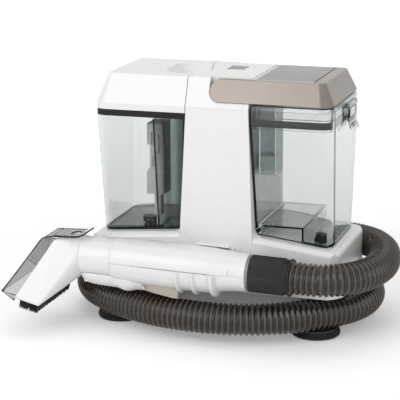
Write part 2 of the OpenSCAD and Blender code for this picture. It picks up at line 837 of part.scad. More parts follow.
module vacuum_motor() color("silver") {
    translate([motor_x, 0, motor_z0]) cylinder(r = motor_r, h = motor_z1 - motor_z0);
    translate([motor_x, 0, motor_z1]) cylinder(r = shaft_r, h = 22);
}

module fan_shroud() color("gray") difference() {
    translate([motor_x, 0, motor_z1]) cylinder(r = motor_r + 2, h = shroud_top - motor_z1);
    translate([motor_x, 0, motor_z1 + 2]) cylinder(r = motor_r, h = shroud_top - motor_z1 - 4);
    translate([motor_x, 0, motor_z1 - 1]) cylinder(r = shaft_r + 1, h = 4);
    translate([motor_x, 0, shroud_top - 3]) cylinder(r = 11, h = 4);
    for (a = [0:30:330])
        rotate_about(motor_x, 0, a) block([motor_r - 3, -3, motor_z1 + 5], [motor_r + 4, 3, shroud_top - 6]);
}

module rotate_about(x, y, a) {
    translate([x, y, 0]) rotate([0, 0, a]) children();
}

// Curved-vane impeller on the motor shaft
module fan_impeller() color("whitesmoke") difference() {
    union() {
        translate([motor_x, 0, motor_z1 + 4]) cylinder(r = fan_r, h = 1.6);
        translate([motor_x, 0, motor_z1 + 4]) cylinder(r = 6, h = 16);
        for (a = [0:40:320])
            rotate_about(motor_x, 0, a) translate([14, 0, motor_z1 + 5]) rotate([0, 0, 35])
                block([-7, -0.7, 0], [8, 0.7, 12]);
    }
    translate([motor_x, 0, motor_z1]) cylinder(r = shaft_r + run_gap, h = 40);
}

// Suction duct from the fan up to the clear lid's port
riser_h = port_z - 21 - shroud_top;
module air_duct() color("gray") difference() {
    union() {
        translate([motor_x, 0, shroud_top]) cylinder(r = 13, h = riser_h);
        hull() {
            translate([motor_x, 0, shroud_top + riser_h - 1]) cylinder(r = 13, h = 1);
            translate([motor_x + 6, port_y, port_z - 8]) cylinder(r = 8, h = 1);
        }
        rod_x(port_y, port_z, motor_x, column_right + 4, port_r);
        translate([motor_x + 6, port_y, port_z - 8]) cylinder(r = 8, h = 9);
    }
    translate([motor_x, 0, shroud_top - 1]) cylinder(r = 11, h = riser_h - 2);
    rod_x(port_y, port_z, motor_x + 3, column_right + 5, port_r - 1.4);
}

module water_pump() color("dimgray") {
    block([-94, -14, core_z], [-66, 14, 38]);
    rod_x(0, 27, -66, -46, 11);
    translate([-84, 0, 38]) cylinder(r = 3, h = 7);
}

module control_board() color("darkgreen") {
    block([60, -22, core_z + 6], [102, 22, core_z + 7.6]);
    for (x = [64, 98], y = [-18, 18])
        translate([x, y, core_z]) cylinder(r = 2.2, h = 6);
    block([66, -18, core_z + 7.6], [80, -4, core_z + 20]);
    translate([86, 10, core_z + 7.6]) cylinder(r = 5, h = 14);
}

// ---- hand tool, in the tool's own frame: u along the axis, w upwards ----

module on_wand() {
    translate([0, wand_y, wand_z]) rotate([0, wand_tilt, 0]) children();
}

// A turned form about the tool's axis, from points [u, radius] and a bore
module turned(points) {
    rotate([0, 90, 0]) rotate_extrude($fn = 64)
        polygon(concat([[0, points[0][0]]], [for (p = points) [p[1], p[0]]],
            [[0, points[len(points) - 1][0]]]));
}

upper_points = [[seam_u, neck_r + 0.9], [seam_u + 3, neck_r + 1.6], [-60, grip_r - 0.4], [-20, grip_r],
    [10, grip_r - 0.6], [35, tail_r + 1.1], [shell_end_u, tail_r + 0.2]];
lower_points = [[seam_u, neck_r + 0.9], [seam_u + 3, neck_r + 3], [-60, belly_r - 0.5], [-26, belly_r],
    [10, belly_r - 0.4], [26, tail_r + 2.4], [38, tail_r + 0.8], [shell_end_u, tail_r + 0.2]];
ring_spots = [[-22, 2.4], [-4.5, 2.4], [16.5, 3.4]];

function inner(points) = [for (p = points) [p[0], p[1] - tool_wall]];

module belly(inset) {
    intersection() {
        hull() {
            translate([-85, 0, -19.5]) sphere(r = 16 - inset, $fn = 20);
            translate([-68, 0, -16.5]) sphere(r = 13.5 - inset, $fn = 20);
            translate([-96, 0, -17]) sphere(r = 15 - inset, $fn = 20);
        }
        block([seam_u + inset, -far, -far], [-58, far, 0]);
    }
}

module wand_upper_shell() color("white") on_wand() difference() {
    union() {
        difference() {
            turned(upper_points);
            intersection() {
                turned(inner(upper_points));
                block([seam_u + 2, -far, -far], [shell_end_u - 4, far, far]);
            }
        }
        // collar that guides the nozzle's spigot
        rod_x(0, 0, seam_u + 1, seam_u + 17, neck_r);
    }
    rod_x(0, 0, seam_u - 1, seam_u + 18, spigot_r + run_gap);
    rod_x(0, 0, seam_u, shell_end_u + 1, tube_r + 0.02);
    block([-far, -far, -far], [far, far, 0]);
    // recess of the hose catch
    block([33, -tail_r - 3, 0.6], [41, -tail_r + 0.2, 9]);
}

module wand_lower_shell() color("white") on_wand() difference() {
    union() {
        difference() {
            union() {
                turned(lower_points);
                belly(0);
                for (ring = ring_spots)
                    turned([[ring[0] - ring[1], tail_r], [ring[0] - ring[1], belly_r - 0.6],
                        [ring[0] - ring[1] / 2, ring_r - 0.5], [ring[0], ring_r],
                        [ring[0] + ring[1] / 2, ring_r - 0.5], [ring[0] + ring[1], belly_r - 0.6],
                        [ring[0] + ring[1], tail_r]]);
            }
            intersection() {
                union() {
                    turned(inner(lower_points));
                    belly(tool_wall);
                }
                block([seam_u + 2, -far, -far], [shell_end_u - 4, far, far]);
            }
        }
        rod_x(0, 0, seam_u + 1, seam_u + 17, neck_r);
        // web that holds the spray valve
        intersection() {
            belly(tool_wall / 2);
            block([-82, -far, -far], [-80, far, 0]);
        }
        // lugs of the trigger pin
        for (s = [-1, 1])
            intersection() {
                union() {
                    turned(inner(lower_points));
                    belly(tool_wall / 2);
                }
                block([trigger_u - 5, s * 19 - 1.5, -30], [trigger_u + 5, s * 19 + 1.5, -6]);
            }
    }
    rod_x(0, 0, seam_u - 1, seam_u + 18, spigot_r + run_gap);
    rod_x(0, 0, seam_u, shell_end_u + 1, tube_r + 0.02);
    block([-far, -far, -seat_gap / 3], [far, far, far]);
    // flat at the back of the finger rings, clear of the base
    translate([0, -wand_y, 0]) block([-far, -base_d / 2 - seat_gap, -far], [far, far, far]);
    // opening of the trigger
    block([trigger_u - 6, -trigger_half - 0.4, -far], [-22.5, trigger_half + 0.4, -8]);
    rod_y(trigger_u, trigger_w, -far, far, trigger_pin_r + 0.02);
    rod_x(0, spray_w, -90, -70, spray_r + 0.05);
}

trigger_u = -61;
trigger_w = -24;
trigger_half = 15;
trigger_pin_r = 1.5;
spray_r = 5;
spray_w = -26;

module suction_tube() color("gainsboro") on_wand() difference() {
    rod_x(0, 0, seam_u + 19, cuff_end + 1, tube_r);
    rod_x(0, 0, seam_u + 18, cuff_end + 2, tube_bore);
}

module spray_valve() color("silver") on_wand() {
    rod_x(0, spray_w, -92, -76, spray_r);
    rod_x(0, spray_w, -76, -69, 2.2);
}

// Squeeze trigger: a wedge under the tool, hinged at its front end
module trigger() color("tan") on_wand() difference() {
    union() {
        along_y(-trigger_half, trigger_half)
            polygon([[trigger_u - 2, trigger_w + 3], [trigger_u + 4, -10], [-23.5, -10], [-23.5, -33.4],
                [-30, -33.2], [-52, -29.8], [trigger_u - 2, trigger_w - 3.4]]);
        rod_y(trigger_u, trigger_w, -trigger_half, trigger_half, 3.8);
    }
    rod_y(trigger_u, trigger_w, -far, far, trigger_pin_r + run_gap);
    rod_x(0, 0, -100, 0, 20.6);
}

module trigger_pin() color("silver") on_wand()
    rod_y(trigger_u, trigger_w, -20.4, 20.4, trigger_pin_r);

// Swivel cuff with fine grip flutes
module swivel_cuff() color("black") on_wand() difference() {
    translate([cuff_start, 0, 0]) rotate([0, 90, 0]) union() {
        linear_extrude(cuff_len - 5) polygon([for (i = [0:2 * cuff_flutes - 1])
            let (a = 180 * i / cuff_flutes, r = i % 2 == 0 ? tail_r : tail_r - 0.7)
            [r * cos(a), r * sin(a)]]);
        translate([0, 0, cuff_len - 6]) cylinder(r1 = tail_r - 0.4, r2 = tail_r - 1.6, h = 6);
    }
    rod_x(0, 0, cuff_start - 1, cuff_end + 1, tube_r + run_gap);
}

// The clip and the cradle that park the tool along the base
module wand_clip() color("white") difference() {
    union() {
        on_wand() difference() {
            rod_x(0, 0, -12, 26, grip_r + 3.2);
            rod_x(0, 0, -13, 27, grip_r + seat_gap);
            block([-13, -far, -far], [27, 8, far]);
            block([-13, -far, -far], [27, far, 8]);
        }
        on_wand() block([-12, 22, 8], [26, 34, 16]);
    }
    base_form(-seat_gap / 3);
    column_form(-seat_gap / 3, flare_z);
    on_wand() rod_x(0, 0, -13, 27, grip_r + seat_gap);
}

module wand_cradle() color("white") difference() {
    on_wand() union() {
        block([-134, -9, -neck_r - 7], [-116, 34, -8]);
        block([-132, 4, -8], [-118, 34, 2]);
    }
    base_form(-seat_gap / 3);
    on_wand() rod_x(0, 0, -140, -104, neck_r + seat_gap);
}

// ---- nozzle ----

// Corners of the nozzle's side view, in X and Z
nozzle_top = [-164, 102];
nozzle_front = [-199, 43.5];
nozzle_back = [-172.5, 37];
front_lean = atan((nozzle_top[0] - nozzle_front[0]) / (nozzle_top[1] - nozzle_front[1]));
mouth_slope = atan((nozzle_front[1] - nozzle_back[1]) / (nozzle_back[0] - nozzle_front[0]));
neck_u = -141;
neck_bore = 15.5;

module edge_rod(p, half, r) {
    rod_y(p[0], p[1], wand_y - half, wand_y + half, r);
}

module funnel(inset) {
    half = mouth_w / 2 - inset;
    hull() {
        edge_rod(nozzle_front, half, 1, $fn = 16);
        edge_rod(nozzle_back, half, 1, $fn = 16);
        edge_rod(nozzle_top, neck_r - 2 - inset, 1, $fn = 16);
        on_wand() rod_x(0, 0, neck_u, neck_u + 4, neck_r + 0.4 - inset);
    }
}

module on_front() {
    translate([nozzle_top[0], wand_y, nozzle_top[1]]) rotate([0, front_lean, 0]) children();
}

module on_mouth() {
    translate([nozzle_front[0], wand_y, nozzle_front[1]]) rotate([0, mouth_slope, 0]) children();
}

module nozzle_body() color("white") difference() {
    union() {
        funnel(0);
        on_wand() rod_x(0, 0, neck_u + 2, seam_u - seat_gap, neck_r);
        on_wand() rod_x(0, 0, seam_u - 1, seam_u + 17, spigot_r);
    }
    hull() {
        translate([1.6, 0, 3]) edge_rod(nozzle_front, mouth_w / 2 - 3, 0.6, $fn = 12);
        translate([-3, 0, 3]) edge_rod(nozzle_back, mouth_w / 2 - 3, 0.6, $fn = 12);
        translate([3, 0, -4]) edge_rod(nozzle_top, neck_r - 6, 0.6, $fn = 12);
        on_wand() rod_x(0, 0, neck_u + 2, neck_u + 4, neck_bore - 0.5);
    }
    on_wand() rod_x(0, 0, neck_u + 3, seam_u + 18, neck_bore);
    // window from the suction channel into the neck
    on_front() block([-4, -13, -38], [5, 13, -16]);
    on_front() rod_x(0, -9, -4, 6, 3.05);
}

cover_tip_x = -220.5;
cover_edge_r = 0.5;
module cover_shell() {
    half = mouth_w / 2;
    top_half = neck_r - 2;
    difference() {
        hull() {
            edge_rod([-166.6, 107], top_half, 0.5, $fn = 12);
            edge_rod([cover_tip_x, 48], half, cover_edge_r, $fn = 12);
            edge_rod([-206, 35.5], half, 0.5, $fn = 12);
            edge_rod(nozzle_front + [-1.6, 1], half, 0.5, $fn = 12);
            edge_rod(nozzle_top + [-1.6, 1], top_half, 0.5, $fn = 12);
        }
        hull() {
            edge_rod([-166.6, 107] + 1.1 * cover_t * [0.74, -0.67], top_half - cover_t, 0.1, $fn = 12);
            edge_rod([-224.5, 43.6] + 1.1 * cover_t * [0.74, -0.67], half - cover_t, 0.1, $fn = 12);
            edge_rod([-205, 28], half - cover_t, 0.1, $fn = 12);
            edge_rod([-190, 30], half - cover_t, 0.1, $fn = 12);
            edge_rod([-158, 96], top_half - cover_t, 0.1, $fn = 12);
        }
    }
}

tab_half = 16;
tab_z = 105.3;
tab_t = 2;

// Clear cover of the suction channel, with its finger tab
module nozzle_cover() color("lightslategray", 0.5) difference() {
    union() {
        cover_shell();
        along_y(wand_y - tab_half, wand_y + tab_half)
            polygon([[-167, tab_z], [-150, tab_z], [-140, tab_z + 0.4], [-134, tab_z + 2], [-128, tab_z + 6.4],
                [-129.2, tab_z + 7.8], [-135, tab_z + 3.8], [-140.5, tab_z + 2.3], [-150, tab_z + tab_t],
                [-167, tab_z + tab_t + 0.4]]);
    }
    for (s = [-1, 1])
        translate([-145.5, wand_y + s * 3.5, 90]) cylinder(r = 5.4, h = 30);
    block([-150.9, wand_y - 3.5, 90], [-140.1, wand_y + 3.5, 120]);
}

// One three-sided bristle, leaning a little, as a closed mesh
module strand(x, y, lean_x, lean_y) {
    r = 0.55;
    top = -1.8;
    tip = top - bristle_len;
    corners = [for (a = [0, 120, 240]) [r * cos(a), r * sin(a)]];
    polyhedron(
        points = concat([for (c = corners) [x + c[0], y + c[1], top]],
            [for (c = corners) [x + lean_x + 0.6 * c[0], y + lean_y + 0.6 * c[1], tip]]),
        faces = [[2, 1, 0], [3, 4, 5], [1, 3, 0], [1, 4, 3], [2, 4, 1], [2, 5, 4], [0, 5, 2], [0, 3, 5]]);
}

brush_pitch = 1.42;
brush_lines = [17.2, 19.8, 22.4, 25];
module nozzle_brush() color("black") on_mouth() {
    block([3.5, -mouth_w / 2 + 2, -2.4], [27, mouth_w / 2 - 2, -1]);
    for (i = [0:65], k = [0:3])
        strand(brush_lines[k], (i - 32.5) * brush_pitch + (k % 2) * 0.5, 0.3 * sin(50 * i + 90 * k), 0.25 * cos(70 * i + 60 * k));
    for (end = [-1, 1], i = [0:5], k = [0:2])
        strand(5.4 + 2.6 * k, end * (mouth_w / 2 - 4 - 1.7 * i), 0.3 * sin(80 * i), 0.2 * cos(95 * k + 40 * i));
}

module spray_tip() color("gray") on_front() difference() {
    union() {
        rod_x(0, -9, -4.2, 4, 3);
        rod_x(0, -9, -3.2, -1.3, 4.2);
    }
    rod_x(0, -9, -5, -3.4, 0.9);
}

// ---- hose ----

// Centre line from the tool's tail, round the back, forward along the front and back into the port
hose_route = [[97, -95, 76.9], [114, -95, 76.4], [131, -93, 76], [150, -82, 75.5], [166, -62, 75],
    [176, -36, 74.5], [180, -8, 74], [176, 22, 74], [167, 51, 74], [149, 77, 74], [121, 93, 74],
    [88, 98, 74], [45, 100, 74], [0, 100, 73], [-45, 100, 72], [-88, 99, 69], [-125, 93, 63],
    [-155, 71, 54], [-167, 40, 44], [-167, 8, 34], [-160, -18, 29], [-146, -40, 27.5], [-128, -57, 27.5],
    [-104, -74, 27.5], [-74, -90, 27.5], [-40, -101, 27.5], [0, -106, 27.5], [36, -104, 27.5],
    [70, -93, 27.5], [104, -72, 27.5], [132, -46, 27.5], [150, -18, 27.5], [157, 14, 27.5],
    [152, 46, 27.5], [134, 72, 27.5], [106, 88, 27.5], [76, 91, 27.5], [52, 91, 27.5], [16, 91, 27.5]];

// Catmull-Rom point on the route, t from 0 to its last index
function route_at(t) =
    let (n = len(hose_route) - 1, i = min(floor(t), n - 1), f = t - i,
        p1 = hose_route[i], p2 = hose_route[i + 1],
        p0 = i > 0 ? hose_route[i - 1] : 2 * p1 - p2,
        p3 = i < n - 1 ? hose_route[i + 2] : 2 * p2 - p1)
    0.5 * ((2 * p1) + (p2 - p0) * f + (2 * p0 - 5 * p1 + 4 * p2 - p3) * f * f
        + (3 * p1 - p0 - 3 * p2 + p3) * f * f * f);

fine = 400;
fine_pts = [for (i = [0:fine]) route_at(i * (len(hose_route) - 1) / fine)];
fine_len = [for (i = 0, s = 0; i <= fine;
    s = s + (i < fine ? norm(fine_pts[i + 1] - fine_pts[i]) : 0), i = i + 1) s];
hose_len = fine_len[fine];

// Index of the last fine point not past arc length s, found by halving
function seek(s, a = 0, b = fine) =
    b - a <= 1 ? a : let (m = floor((a + b) / 2)) fine_len[m] <= s ? seek(s, m, b) : seek(s, a, m);
function at_len(s) =
    let (k = min(seek(s), fine - 1), d = fine_len[k + 1] - fine_len[k])
    fine_pts[k] + (fine_pts[k + 1] - fine_pts[k]) * (s - fine_len[k]) / d;

// Rings: a crest and a groove for each rib, with plain ends
hose_sides = 8;
rib_step = hose_len / (2 * hose_ribs);
hose_s = [for (i = [0:2 * hose_ribs]) i * rib_step];
hose_p = [for (s = hose_s) at_len(s)];
function unit(v) = v / norm(v);
hose_n = len(hose_p);
hose_t = [for (i = [0:hose_n - 1])
    i == 0 ? unit([cos(wand_tilt), 0, -sin(wand_tilt)])
    : i == hose_n - 1 ? [-1, 0, 0]
    : unit(hose_p[i + 1] - hose_p[i - 1])];

function ring(c, t, r) =
    let (side = unit(cross(t, [0, 0, 1])), up = cross(side, t))
    [for (k = [0:hose_sides - 1])
        let (a = 360 * (k + 0.5) / hose_sides)
        c + r * cos(a) * side + r * sin(a) * up];

hose_skin = concat([for (i = [0:hose_n - 1])
    for (p = ring(hose_p[i], hose_t[i], hose_od / 2 - (i % 2 == 1 ? rib_depth : 0))) p]);
bore_picks = [for (i = [0:8:hose_n - 1]) i];
bore_ids = bore_picks[len(bore_picks) - 1] == hose_n - 1 ? bore_picks : concat(bore_picks, [hose_n - 1]);
hose_lining = [for (i = bore_ids) for (p = ring(hose_p[i], hose_t[i], hose_bore / 2)) p];

// Faces of a tube of rings, numbered from first
function tube_faces(rings, first, out) = [for (i = [0:rings - 2], k = [0:hose_sides - 1])
    let (a = first + i * hose_sides + k, b = first + i * hose_sides + (k + 1) % hose_sides,
        c = a + hose_sides, d = b + hose_sides)
    each (out ? [[a, b, c], [b, d, c]] : [[a, c, b], [b, c, d]])];
// Ring of faces that joins the skin's end to the lining's end
function end_faces(skin, lining, first) = [for (k = [0:hose_sides - 1])
    let (a = skin + k, b = skin + (k + 1) % hose_sides,
        c = lining + k, d = lining + (k + 1) % hose_sides)
    each (first ? [[a, c, b], [b, c, d]] : [[a, b, c], [b, d, c]])];

module hose() color("dimgray") {
    skin_count = hose_n * hose_sides;
    polyhedron(points = concat(hose_skin, hose_lining),
        faces = concat(tube_faces(hose_n, 0, true),
            tube_faces(len(bore_ids), skin_count, false),
            end_faces(0, skin_count, true),
            end_faces((hose_n - 1) * hose_sides, skin_count + (len(bore_ids) - 1) * hose_sides, false)));
}

// Least gap of the hose to itself, measured between points well apart along it
hose_probe = [for (i = [0:5:fine]) fine_pts[i]];
hose_gap = min([for (i = [0:len(hose_probe) - 1], j = [0:len(hose_probe) - 1])
    if (abs(fine_len[5 * i] - fine_len[5 * j]) > 5 * hose_od)
        norm(hose_probe[i] - hose_probe[j])]) - hose_od;
echo(hose_length = hose_len, hose_gap = hose_gap);

// ---- drawing ----

// The origin lies on the floor under the middle of the outline
frame_x = (cover_edge_r - cover_tip_x - base_w / 2 - flare) / 2;
frame_y = (mouth_w / 2 - wand_y - hose_end_y - hose_socket_r) / 2;
echo(frame_x = frame_x, frame_y = frame_y);
module placed() {
    translate([frame_x, frame_y, 0]) children();
}

placed() main_housing();
placed() core_tub();
placed() bottom_plate();
placed() rear_cover();
placed() top_cap();
placed() roof_panel();
placed() handle_pins();
placed() wand_clip();
placed() wand_cradle();
placed() hose_port();
placed() cord_inlet();
placed() foot(-1, -1);  // foot_front_left
placed() foot(1, -1);  // foot_front_right
placed() foot(-1, 1);  // foot_rear_left
placed() foot(1, 1);  // foot_rear_right
placed() base_screws();
placed() motor_mount();
placed() vacuum_motor();
placed() fan_shroud();
placed() fan_impeller();
placed() air_duct();
placed() water_pump();
placed() control_board();
placed() carry_handle();
placed() power_button();
placed() clean_tank();
placed() tank_seal();
placed() clean_tank_lid();
placed() intake_bracket();
placed() intake_filter();
placed() outlet_valve();
placed() dirty_tank();
placed() dirty_tank_lid();
placed() lid_gasket();
placed() separator_duct();
placed() float_cup();
placed() drain_plug();
placed() lid_latch();
placed() latch_pin();
placed() wand_upper_shell();
placed() wand_lower_shell();
placed() suction_tube();
placed() spray_valve();
placed() trigger();
placed() trigger_pin();
placed() swivel_cuff();
placed() nozzle_body();
placed() nozzle_cover();
placed() nozzle_brush();
placed() spray_tip();
placed() hose();
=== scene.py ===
import math

import bmesh
import bpy
import numpy as np
from mathutils import Matrix, Vector


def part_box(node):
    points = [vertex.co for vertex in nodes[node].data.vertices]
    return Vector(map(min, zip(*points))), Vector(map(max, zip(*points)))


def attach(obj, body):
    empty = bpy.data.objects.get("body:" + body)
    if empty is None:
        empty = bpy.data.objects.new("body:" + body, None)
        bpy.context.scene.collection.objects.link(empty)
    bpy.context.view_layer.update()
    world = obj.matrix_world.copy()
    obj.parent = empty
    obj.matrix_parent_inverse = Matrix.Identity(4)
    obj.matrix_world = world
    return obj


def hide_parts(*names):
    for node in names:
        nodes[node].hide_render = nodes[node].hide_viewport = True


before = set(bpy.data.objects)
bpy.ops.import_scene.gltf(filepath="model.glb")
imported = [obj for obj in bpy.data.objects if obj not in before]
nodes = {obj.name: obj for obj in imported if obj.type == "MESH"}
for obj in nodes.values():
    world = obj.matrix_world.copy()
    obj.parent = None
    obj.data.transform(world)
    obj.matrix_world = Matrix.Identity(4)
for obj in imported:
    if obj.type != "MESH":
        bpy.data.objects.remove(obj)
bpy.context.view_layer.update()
scene = bpy.context.scene

# The pieces are laid out in millimetres about the column's foot, as the part's source has them;
# SHIFT takes a point from there into the row frame.
MM = 0.001
SHIFT = Vector((38.0, 17.0, 0.0))


def at(x, y, z):
    return (Vector((x, y, z)) + SHIFT) * MM


# ---- camera ----
AZIMUTH, ELEVATION, ROLL = math.radians(18.01), math.radians(14.03), math.radians(0.41)
TARGET = at(-34.05, 0, 129.55)
DISTANCE = 1.7663
SENSOR_WIDTH, LENS = 36.0, 140.68


def aim_camera():
    data = bpy.data.cameras.new("camera")
    data.sensor_width, data.lens = SENSOR_WIDTH, LENS
    data.clip_start, data.clip_end = 0.05, 20
    camera = bpy.data.objects.new("camera", data)
    scene.collection.objects.link(camera)
    back = Vector((math.sin(AZIMUTH) * math.cos(ELEVATION),
                   -math.cos(AZIMUTH) * math.cos(ELEVATION), math.sin(ELEVATION)))
    right = Vector((math.cos(AZIMUTH), math.sin(AZIMUTH), 0))
    up = back.cross(right)
    rolled_right = right * math.cos(ROLL) - up * math.sin(ROLL)
    rolled_up = right * math.sin(ROLL) + up * math.cos(ROLL)
    turn = Matrix((rolled_right, rolled_up, back)).transposed().to_4x4()
    camera.matrix_world = Matrix.Translation(TARGET + back * DISTANCE) @ turn
    scene.camera = camera
    scene.view_settings.view_transform = "Standard"


aim_camera()


# ---- node materials ----
# Places of a Mix node's colour sockets among its sockets of all types
MIX_A, MIX_B, MIX_RESULT = 6, 7, 2


class Mat:
    """A node material, built up a few nodes at a time."""

    def __init__(self, name):
        self.mat = bpy.data.materials.new(name)
        self.mat.use_nodes = True
        self.tree = self.mat.node_tree
        self.tree.nodes.clear()
        self.out = self.node("ShaderNodeOutputMaterial")
        self.bsdf = self.node("ShaderNodeBsdfPrincipled")
        self.link(self.bsdf.outputs[0], self.out.inputs["Surface"])
        self.coords = self.node("ShaderNodeTexCoord").outputs["Object"]

    def node(self, kind, **props):
        n = self.tree.nodes.new(kind)
        for k, v in props.items():
            setattr(n, k, v)
        return n

    def link(self, a, b):
        self.tree.links.new(a, b)

    def set(self, **values):
        for k, v in values.items():
            self.bsdf.inputs[k.replace("_", " ")].default_value = v

    def stretch(self, scale):
        n = self.node("ShaderNodeMapping")
        n.inputs["Scale"].default_value = scale
        self.link(self.coords, n.inputs["Vector"])
        return n.outputs[0]

    def noise(self, scale, detail=4.0, rough=0.6, vector=None):
        n = self.node("ShaderNodeTexNoise")
        n.inputs["Scale"].default_value = scale
        n.inputs["Detail"].default_value = detail
        n.inputs["Roughness"].default_value = rough
        self.link(vector if vector is not None else self.coords, n.inputs["Vector"])
        return n.outputs["Fac"]

    def ramp(self, fac, *stops):
        n = self.node("ShaderNodeValToRGB")
        while len(n.color_ramp.elements) < len(stops):
            n.color_ramp.elements.new(0.5)
        for e, (pos, colour) in zip(n.color_ramp.elements, stops):
            e.position = pos
            e.color = (*colour, 1) if len(colour) == 3 else colour
        self.link(fac, n.inputs[0])
        return n.outputs["Color"]

    def range(self, fac, lo, hi, low=0.0, high=1.0):
        n = self.node("ShaderNodeMapRange")
        for i, v in enumerate((lo, hi, low, high)):
            n.inputs[i + 1].default_value = v
        self.link(fac, n.inputs[0])
        return n.outputs[0]

    def math(self, op, a, b=None):
        n = self.node("ShaderNodeMath", operation=op)
        for i, v in enumerate((a, b)):
            if v is None:
                continue
            if isinstance(v, (int, float)):
                n.inputs[i].default_value = v
            else:
                self.link(v, n.inputs[i])
        return n.outputs[0]

    def bump(self, height, distance, strength=1.0, normal=None):
        n = self.node("ShaderNodeBump")
        n.inputs["Distance"].default_value = distance
        n.inputs["Strength"].default_value = strength
        self.link(height, n.inputs["Height"])
        if normal is not None:
            self.link(normal, n.inputs["Normal"])
        return n.outputs[0]

    def blend(self, amount, socket, colour):
        """The socket's colour, turning to a fixed one as amount goes to 1."""
        n = self.node("ShaderNodeMix", data_type="RGBA")
        self.link(amount, n.inputs["Factor"])
        self.link(socket, n.inputs[MIX_A])
        n.inputs[MIX_B].default_value = (*colour, 1)
        return n.outputs[MIX_RESULT]

    def soften(self, radius):
        n = self.node("ShaderNodeBevel", samples=6)
        n.inputs["Radius"].default_value = radius
        return n.outputs[0]

    def colour(self, socket):
        self.link(socket, self.bsdf.inputs["Base Color"])

    def roughness(self, socket):
        self.link(socket, self.bsdf.inputs["Roughness"])

    def normal(self, socket):
        self.link(socket, self.bsdf.inputs["Normal"])


def plastic(name, base, spread=0.03, rough=(0.25, 0.35), grain=900.0, depth=0.00002, edge=0.0006, **more):
    """Moulded plastic: faint drift of colour, handled patches in the gloss, and fine grain."""
    m = Mat(name)
    m.set(**more)
    drift = m.noise(9.0, 3.0)
    lo = tuple(max(0.0, c * (1 - spread)) for c in base)
    hi = tuple(min(1.0, c * (1 + spread)) for c in base)
    m.colour(m.ramp(drift, (0.35, lo), (0.65, hi)))
    m.roughness(m.range(m.noise(26.0, 5.0), 0.3, 0.7, *rough))
    m.normal(m.bump(m.noise(grain, 2.0), depth, 0.6, m.soften(edge) if edge else None))
    return m.mat


# Lower than a solid block's, so that the walls bend what is seen through them less
CLEAR_IOR = 1.33
# SMOKE_RIM is painted shade for walls seen edge on, and the third colour is painted shade for the clean
# tank's floor and column wall.
SMOKE_TINT, SMOKE_RIM, SMOKE_PAINTED_SHADE = (0.81, 0.83, 0.825), (0.30, 0.34, 0.34), (0.24, 0.28, 0.28)
# Slabs of the clean tank where shade is painted, as (axis, from, to, tilt) in metres: its sloping floor,
# and the wall by the column, which read dark from the shade seen through them
CLEAN_TANK_SHADE_SLABS = ((2, 0.1145, 0.1125, -0.0822), (0, -0.022, -0.016, 0.0))


def shade_mask(m, slabs):
    """1 inside the slabs where shade is painted on a moulding, 0 outside them."""
    split = m.node("ShaderNodeSeparateXYZ")
    m.link(m.coords, split.inputs[0])
    amount = None
    for axis, start, end, tilt in slabs:
        place = m.math("ADD", split.outputs[axis], m.math("MULTIPLY", split.outputs[0], tilt))
        inside = m.range(place, start, end)
        amount = inside if amount is None else m.math("MAXIMUM", amount, inside)
    return amount


def clear(name, tint, rough=0.02, haze=0.03, rim=None, painted_shade=None, slabs=()):
    """Clear tinted moulding that lets the lamps through. It turns to the rim colour, a painted shade,
    where a wall is seen edge on, and to a darker painted shade in the given slabs."""
    m = Mat(name)
    m.set(Transmission_Weight=1.0, IOR=CLEAR_IOR)
    body = m.ramp(m.noise(14.0, 3.0), (0.3, tuple(c * (1 - haze) for c in tint)), (0.7, tint))
    # Painted shade on the slabs: the clean tank's floor and its wall by the column read dark from the
    # shade seen through them.
    if slabs:
        body = m.blend(shade_mask(m, slabs), body, painted_shade)
    # Painted shade: a wall seen edge on turns to the rim colour, standing in for the dark surroundings
    # bent through its edge.
    if rim:
        graze = m.node("ShaderNodeLayerWeight")
        graze.inputs["Blend"].default_value = 0.5
        body = m.blend(m.range(graze.outputs["Facing"], 0.55, 0.95), body, rim)
    m.colour(body)
    m.roughness(m.range(m.noise(40.0, 4.0), 0.3, 0.7, rough * 0.6, rough * 1.6))
    m.normal(m.bump(m.noise(60.0, 2.0), 0.00003, 0.35))
    path = m.node("ShaderNodeLightPath")
    through = m.node("ShaderNodeBsdfTransparent")
    through.inputs["Color"].default_value = (*tint, 1)
    mix = m.node("ShaderNodeMixShader")
    m.link(path.outputs["Is Shadow Ray"], mix.inputs[0])
    m.link(m.bsdf.outputs[0], mix.inputs[1])
    m.link(through.outputs[0], mix.inputs[2])
    m.link(mix.outputs[0], m.out.inputs["Surface"])
    return m.mat


white = plastic("white_shell", (0.80, 0.80, 0.793), 0.012, (0.25, 0.30), 700.0, 0.00001)
grey = plastic("grey_panel", (0.245, 0.245, 0.249), 0.05, (0.30, 0.42), 1400.0, 0.00003)
greige = plastic("greige_plastic", (0.42, 0.37, 0.325), 0.04, (0.32, 0.44), 1000.0, 0.00002)
bracket_grey = plastic("bracket_plastic", (0.47, 0.455, 0.45), 0.04, (0.35, 0.5), 900.0, 0.00002)
rubber = plastic("black_rubber", (0.010, 0.010, 0.011), 0.2, (0.5, 0.7), 800.0, 0.00005,
                 Specular_IOR_Level=0.25)
dark = plastic("dark_plastic", (0.03, 0.03, 0.032), 0.1, (0.4, 0.55), 900.0, 0.00003)
black = plastic("black_plastic", (0.013, 0.013, 0.014), 0.15, (0.38, 0.5), 1100.0, 0.00004,
                Specular_IOR_Level=0.3)
inner = plastic("inner_plastic", (0.62, 0.62, 0.60), 0.03, (0.35, 0.45), 900.0, 0.00002)
board = plastic("circuit_board", (0.02, 0.10, 0.04), 0.15, (0.3, 0.5), 500.0, 0.00003)
smoke = clear("smoky_clear", SMOKE_TINT, rim=SMOKE_RIM)
left_smoke = clear("smoky_clear_left", SMOKE_TINT, rim=SMOKE_RIM, painted_shade=SMOKE_PAINTED_SHADE, slabs=CLEAN_TANK_SHADE_SLABS)
teal = clear("teal_clear", (0.62, 0.69, 0.69), rim=(0.12, 0.16, 0.16))
